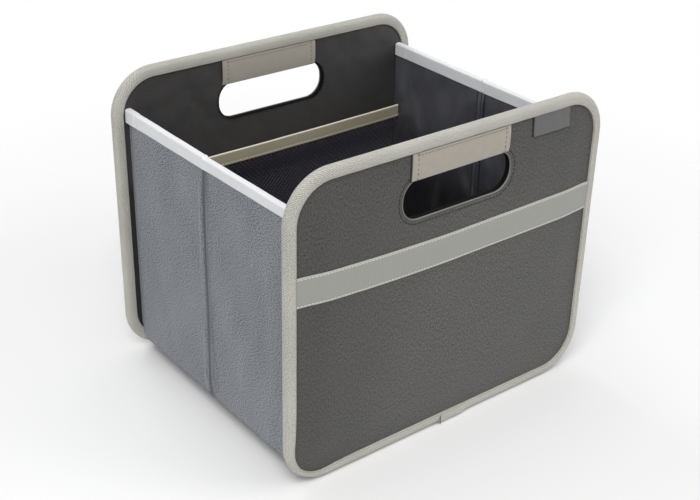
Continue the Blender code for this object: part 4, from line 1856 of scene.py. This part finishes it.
    def tape_sheet(self, y: np.ndarray, shrink: float) -> tuple[Sheet, float]:
        """Folded tape along the side's top edge.

        Args:
            y: Places along the edge.
            shrink: How much smaller its section is than the full one.

        Returns:
            The sheet and the length of its section.
        """
        profile = self.tape_section(shrink)
        pinch = hump(y, 0.0, 0.0016)
        wave = sum(part.over(y) for part in self.tape_waves)
        foot, top = self.foot_at(y)[:, None], self.top_at(y)[:, None] - self.tape_bend
        height = foot + (top - foot) * profile[:, 1][None, :] + profile[:, 2][None, :]
        out = profile[:, 0][None, :] + (0.0003 * pinch + wave * 0.6)[:, None]
        points = self.at(out, y[:, None], height)
        leg = self.tape_leg * profile[:, 1] + profile[:, 2]
        length = distances(np.stack([profile[:, 0], leg], 1))
        centre = facing(self.x_at(self.tape_middle), 0, 0.230)
        away = (points - centre) * facing(1, 0, 1)
        return Sheet(points, grid(length, y)[..., ::-1], self.tape_thickness, away), float(length[-1])

    def top_at(self, y: np.ndarray) -> np.ndarray:
        """Height of the folded tape's top, with its step or its bump at the crease.

        Args:
            y: Places along the edge.

        Returns:
            The height at each place.
        """
        along, heights = np.abs(y) / self.tape_end, TAPE_HEIGHTS[self.side]
        rear, front = (start + rise * along for start, rise in (heights.rear, heights.front))
        step = ease(y, -0.0007, 0.0007)
        return front * (1 - step) + rear * step + 0.0009 * hump(y, 0.0, 0.0012)

    def foot_at(self, y: np.ndarray) -> np.ndarray:
        """Height of the folded tape's lower edge.

        Args:
            y: Places along the edge.

        Returns:
            The height at each place.
        """
        middle, rear, front = TAPE_HEIGHTS[self.side].foot
        along = y / self.tape_end
        return middle + rear * np.clip(along, 0, 1.2) + front * np.clip(-along, 0, 1.2)

    def top_tape(self) -> None:
        """Pale tape folded over the top edge of both half panels."""
        sheet, width = self.tape_sheet(self.fine_middle(self.tape_reach, 200), 0.0)
        flat = (width, self.tape_flat)
        piece = self.shop.cloth(self.named("top_tape"), sheet, FINISHES.tape, flat, Hold.FOLDED)
        self.bend_at_crease(piece, "tape", *[self.named(f"{end.word}_tape") for end in End])
        line = np.linspace(-0.1075, 0.1075, 90)
        outs = (self.tape_middle + self.tape_half, self.tape_middle - self.tape_half)
        rows = [self.at(out, line, self.foot_at(line) + 0.0018) for out in outs]
        self.bend_at_crease(self.shop.sew(self.named("tape_stitches"), rows, self.tape_row), "tape")

    def lining(self, end: End) -> None:
        """Lining of a half panel, its end turned down into the crease.

        Args:
            end: Wall that the half panel is next to.
        """
        reach = 0.0005 + 0.1075 * np.linspace(0, 1, 90) ** 1.3
        y, z = np.meshgrid(reach, np.linspace(self.lining_bottom, LAYERS.side_top, 90))
        free = self.hem(z, (0.024, 0.045), 0.018) * ease(self.tape_end - y, 0.0, 0.02)
        folds = self.lining_folds.over(y, z, 2 * self.side.value + end.value)
        rise = free * ease(y, 0.002, 0.016) * np.maximum(self.fullness + folds, 0.0)
        lip = 0.0014 * self.hem(z, (0.024, 0.045), 0.010) * hump(y, 0.0028, 0.0013)
        points = self.at(LAYERS.side_lining - rise - lip, end.value * y, z)
        places = np.stack([end.value * y, z], -1)
        sheet = Sheet(points, places, LAYERS.lining_thickness, facing(-self.side.value, 0, 0))
        name = self.named(f"{end.word}_lining")
        piece = self.shop.cloth(name + "_cloth", sheet, FINISHES.side_lining, self.lining_flat)
        self.shop.give(piece, self.panel(end), "lining", name)
        anchor = (self.x_at(LAYERS.side_lining), 0.0, 0.0)
        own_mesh(piece)

    def corner(self, end: End) -> None:
        """Soft strips between the half panel and its wall: outer cloth, lining and tape.

        Args:
            end: Wall that the corner is at.
        """
        node = self.named(f"{end.word}_web")
        self.corner_cloth(end, "cloth", 0.0168, self.strip_inward, "side_fabric", node)
        self.corner_cloth(end, "lining", 0.0240, 0.0, "lining")
        for name, first, last, body in self.strip_spans(end):
            sheet, width = self.tape_sheet(end.value * np.linspace(first, last, 16), -0.0003)
            flat = (width, max(last - first, self.split_flat))
            piece = self.shop.cloth(name + "_corner_tape", sheet, FINISHES.tape, flat, Hold.FOLDED)
            self.place_strip(piece, end, body, "tape")

    def corner_cloth(self, end: End, word: str, low: float, inward: float, slot: str, *nodes: str) -> None:
        """The outer cloth or the lining of a corner.

        Args:
            end: Wall that the corner is at.
            word: cloth or lining, which ends the piece's name.
            low: Height of its foot at the panel.
            inward: How far it draws in towards the wall.
            slot: Its slot.
            nodes: Nodes that its first strip stands for.
        """
        if word == "cloth":
            finish, outward, thickness = FINISHES.side, 1, LAYERS.cover_thickness * 0.8
            face = LAYERS.side_face - self.strip_lap
        else:
            finish, outward, thickness = FINISHES.side_lining, -1, LAYERS.lining_thickness * 0.8
            face = LAYERS.side_lining + self.strip_lap
        for name, first, last, body in self.strip_spans(end):
            y, share = np.meshgrid(np.linspace(first, last, 22), np.linspace(0, 1, 70))
            bottom = low + (0.0272 - low) * ease(y, 0.1180, 0.1192)
            z = bottom + share * (LAYERS.side_top - bottom)
            points = self.at(face - inward * ease(y, 0.1085, 0.1185), end.value * y, z)
            places = np.stack([end.value * y, z], -1)
            sheet = Sheet(points, places, thickness, facing(outward * self.side.value, 0, 0))
            flat = (max(last - first, self.split_flat), self.cloth_flat)
            piece = self.shop.cloth(f"{name}_corner_{word}", sheet, finish, flat)
            self.place_strip(piece, end, body, slot, *nodes)
            nodes = ()

    def strip_spans(self, end: End) -> list[tuple[str, float, float, Optional[str]]]:
        """Strips of a corner: one, or two at the right front corner, whose pivot is open.

        Args:
            end: Wall that the corner is at.

        Returns:
            Name, start, end and only body of each strip.
        """
        name = self.named(end.word)
        if self.side is Side.RIGHT and end is End.FRONT:
            axis, panel = LAYERS.corner_axis, self.panel(end)
            wall_part = (name, axis, self.strip_end, end.word + "_wall")
            return [(name + "_panel", self.strip_start, axis, panel), wall_part]
        return [(name, self.strip_start, self.strip_end, None)]

    def place_strip(self, piece: Piece, end: End, body: Optional[str], slot: str, *nodes: str) -> None:
        """Hands a strip to its one body, or else bakes its transform.

        Args:
            piece: The strip.
            end: Wall that it is at.
            body: Its only body, where it has one.
            slot: Its slot.
            nodes: Nodes that it stands for.
        """
        if body is not None:
            self.shop.give(piece, body, slot, *nodes)
            return
        x = self.x_at(LAYERS.side_lining)
        ends = [(x, end.value * y, self.blend_height) for y in self.corner_blend]
        self.shop.bend(piece, (end.word + "_wall", self.panel(end)), *ends, slot, *nodes)


# Floor


@dataclass
class FloorDress:
    """Cloth of one floor leaf and its two gussets."""

    shop: Workshop
    end: End
    far: float = 0.1185
    near: float = 0.0004
    wide: float = 0.1432
    lining_thickness: float = 0.00048
    cover_thickness: float = 0.00064
    cover_top: float = 0.0193
    strip_half: float = 0.0052
    strip_under: float = 0.0008
    strip_thickness: float = 0.0003
    gusset_gap: float = 0.0003
    gusset_short: float = 0.0012
    gusset_dip: float = 0.0008
    folds: Folds = Folds(71, 14, 0.00018, (0.008, 0.02), (0.03, 0.08), (-80, 80))

    @property
    def body(self) -> str:
        """The leaf's body."""
        return f"floor_{self.end.word}_leaf"

    def build(self) -> None:
        """Makes the leaf's lining and cover, the gussets, and once the strip under the crease."""
        lining_top = LAYERS.floor_top - 0.0002
        self.leaf("lining", FINISHES.floor_lining, "lining", lining_top, self.lining_thickness, 1)
        self.leaf("cover", FINISHES.cover, "outer_fabric", self.cover_top, self.cover_thickness, -1)
        for side in Side:
            self.gusset(side)
        if self.end is End.REAR:
            self.crease_strip()

    def crease_strip(self) -> None:
        """Strip under the crease between the two leaves, where the real cover runs on."""
        half, wide = self.strip_half, self.wide
        x, y = np.meshgrid(np.linspace(-wide, wide, 40), np.linspace(-half, half, 9))
        z = np.full_like(x, self.cover_top - self.strip_under)
        sheet = Sheet(np.stack([x, y, z], -1), np.stack([x, y], -1), self.strip_thickness, facing(0, 0, 1))
        flat = (2 * wide, 2 * half)
        piece = self.shop.cloth("floor_crease_strip", sheet, FINISHES.floor_lining, flat, Hold.LAID)
        self.shop.give(piece, self.body, "outer_fabric")

    def leaf(
        self, word: str, finish: Finish, slot: str, height: float, thickness: float, upward: int
    ) -> None:
        """One cloth of the leaf.

        Args:
            word: Which cloth, as its node has it.
            finish: Its finish.
            slot: Its slot.
            height: Height of its face.
            thickness: Its thickness.
            upward: 1 for a cloth that faces up, -1 for one that faces down.
        """
        share, row = np.meshgrid(np.linspace(-1, 1, 90), np.linspace(0, 1, 50))
        depth = self.far - self.near
        y, half = self.near + depth * row, self.wide - depth + depth * row
        x = share * half
        free = ease(half - np.abs(x), 0.0, 0.015)
        free = free * ease(self.far - y, 0.0, 0.012) * ease(y - self.near, 0.0, 0.012)
        z = height + upward * free * self.folds.over(x, y, self.end.value + upward)
        points = np.stack([x, self.end.value * y, z], -1)
        sheet = Sheet(points, np.stack([x, y], -1), thickness, facing(0, 0, upward))
        node = f"floor_{self.end.word}_{word}"
        piece = self.shop.cloth(node + "_cloth", sheet, finish, (2 * self.wide, depth), Hold.LAID)
        self.shop.give(piece, self.body, slot, node)

    def gusset(self, side: Side) -> None:
        """Soft triangle between the leaf's slanted edge and the half panel.

        Args:
            side: Side that the gusset is at.
        """
        gap = self.gusset_gap * math.sqrt(2)
        corner = self.far - gap - self.gusset_short
        share, row = np.meshgrid(np.linspace(0, 1, 30), np.linspace(0, 1, 40))
        y = self.near + (corner - self.near) * row
        inner = self.wide - (self.far - gap - y)
        x = inner + (self.wide - inner) * share
        dip = ease(x - inner, 0.0, 0.02) * ease(self.wide - x, 0.0, 0.02) * ease(corner - y, 0.0, 0.02)
        z = LAYERS.floor_top - 0.0001 - self.gusset_dip * dip
        points = np.stack([side.value * x, self.end.value * y, z], -1)
        sheet = Sheet(points, np.stack([side.value * x, y], -1), self.lining_thickness, facing(0, 0, 1))
        node, length = f"gusset_{side.word}_{self.end.word}", corner - self.near
        piece = self.shop.cloth(node + "_cloth", sheet, FINISHES.floor_lining, (length, length), Hold.LAID)
        self.shop.give(piece, self.body, "lining", node)


# Studio


@dataclass(frozen=True)
class Lamp:
    """A square soft lamp aimed at the box."""

    name: str
    place: Triple
    size: float
    power: float

    def build(self, aim: Vector) -> None:
        """Adds the lamp to the scene.

        Args:
            aim: Point that it shines at.
        """
        data = bpy.data.lights.new(self.name, "AREA")
        data.shape = "SQUARE"
        data.size = self.size
        data.energy = self.power
        made = placed(self.name, data)
        made.location = self.place
        made.rotation_mode = "QUATERNION"
        made.rotation_quaternion = (aim - Vector(self.place)).to_track_quat("-Z", "Y")


@dataclass
class Studio:
    """Pale floor, soft lamps, plain surroundings and the camera."""

    camera_place: Triple = (-0.59766, -0.75180, 0.62680)
    azimuth: float = -38.367
    elevation: float = 28.326
    roll: float = 1.348
    focal_pixels: float = 1246.35
    picture_width: float = 700.0
    sensor: float = 36.0
    seen: Pair = (0.01, 50.0)
    ambient: float = 0.48
    floor_radius: float = 3.0
    floor_height: float = -0.0015
    floor_fade: Pair = (0.35, 0.75)
    floor_colour: Colour = (0.86, 0.86, 0.86, 1.0)
    aim: Triple = (0.0, 0.0, 0.12)
    lamps: tuple[Lamp, ...] = (
        Lamp("key_lamp", (-1.35, -1.25, 2.2), 1.4, 46.0),
        Lamp("top_lamp", (0.3, 0.1, 2.2), 1.2, 4.0),
        Lamp("fill_lamp", (1.8, -1.8, 1.3), 1.6, 20.0),
        Lamp("back_lamp", (-0.2, 2.0, 2.0), 1.5, 15.0),
    )

    def build(self) -> None:
        """Adds everything of the studio."""
        self.floor()
        self.surroundings()
        for lamp in self.lamps:
            lamp.build(Vector(self.aim))
        self.camera()
        bpy.context.scene.view_settings.view_transform = "Standard"

    def floor(self) -> None:
        """Pale floor that fades into the white surroundings."""
        bpy.ops.mesh.primitive_circle_add(vertices=64, radius=self.floor_radius, fill_type="NGON")
        plate = bpy.context.object
        plate.name = "studio_floor"
        plate.location = (0.0, 0.0, self.floor_height)
        paint = Paint("studio_floor")
        middle = {0: paint.object_place()}
        reach = paint.add("ShaderNodeVectorMath", {"operation": "LENGTH"}, middle, "Value")
        shown = 1.0 - reach.smooth(*self.floor_fade)
        lit = paint.add("ShaderNodeBsdfDiffuse", sockets={"Color": self.floor_colour})
        clear = paint.add("ShaderNodeBsdfTransparent")
        mixed = paint.add("ShaderNodeMixShader", sockets={0: shown, 1: clear, 2: lit})
        paint.add("ShaderNodeOutputMaterial", sockets={"Surface": mixed})
        plate.data.materials.append(paint.material)

    def surroundings(self) -> None:
        """White to the eye, and a plain soft light to the box."""
        world = bpy.data.worlds.new("studio_surroundings")
        world.use_nodes = True
        bpy.context.scene.world = world
        canvas = Canvas(world.node_tree)
        seen = canvas.add("ShaderNodeLightPath", output="Is Camera Ray")
        mirrored, through = seen.sibling("Is Glossy Ray"), seen.sibling("Is Transmission Ray")
        direct = seen.larger(mirrored.larger(through))
        soft, white = (
            canvas.add("ShaderNodeBackground", sockets={"Color": (1.0, 1.0, 1.0, 1.0), "Strength": strength})
            for strength in (self.ambient, 1.0)
        )
        mixed = canvas.add("ShaderNodeMixShader", sockets={0: direct, 1: soft, 2: white})
        canvas.add("ShaderNodeOutputWorld", sockets={"Surface": mixed})

    def camera(self) -> None:
        """Camera at the photograph's place and angle."""
        turn, tilt, roll = (math.radians(angle) for angle in (self.azimuth, self.elevation, self.roll))
        back = Vector((math.sin(turn) * math.cos(tilt), -math.cos(turn) * math.cos(tilt), math.sin(tilt)))
        level = Vector((math.cos(turn), math.sin(turn), 0.0))
        upright = back.cross(level)
        right = level * math.cos(roll) + upright * math.sin(roll)
        up = upright * math.cos(roll) - level * math.sin(roll)
        data = bpy.data.cameras.new("photo_camera")
        data.sensor_width = self.sensor
        data.lens = self.sensor * self.focal_pixels / self.picture_width
        data.clip_start, data.clip_end = self.seen
        made = placed("photo_camera", data)
        turned = Matrix((right, up, back)).transposed()
        made.matrix_world = Matrix.Translation(Vector(self.camera_place)) @ turned.to_4x4()
        bpy.context.scene.camera = made


def dress_boards(shop: Workshop) -> None:
    """Gives the stiff boards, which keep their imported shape, their finish.

    Args:
        shop: The materials.
    """
    for name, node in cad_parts.items():
        if name.endswith("_board"):
            node.data.materials.clear()
            node.data.materials.append(shop.material(FINISHES.board))


def main() -> None:
    """Dresses the box and builds the studio."""
    logging.basicConfig(level=logging.INFO, format="%(message)s")
    shop = Workshop()
    walls = {end: WallDress(shop, end) for end in End}
    for wall in walls.values():
        wall.build()
    FrontTrim(walls[End.FRONT]).build()
    PocketDress(walls[End.REAR]).build()
    for side in Side:
        SideDress(shop, side).build()
    for end in End:
        FloorDress(shop, end).build()
    dress_boards(shop)
    Studio().build()


if __name__ == "__main__":
    main()
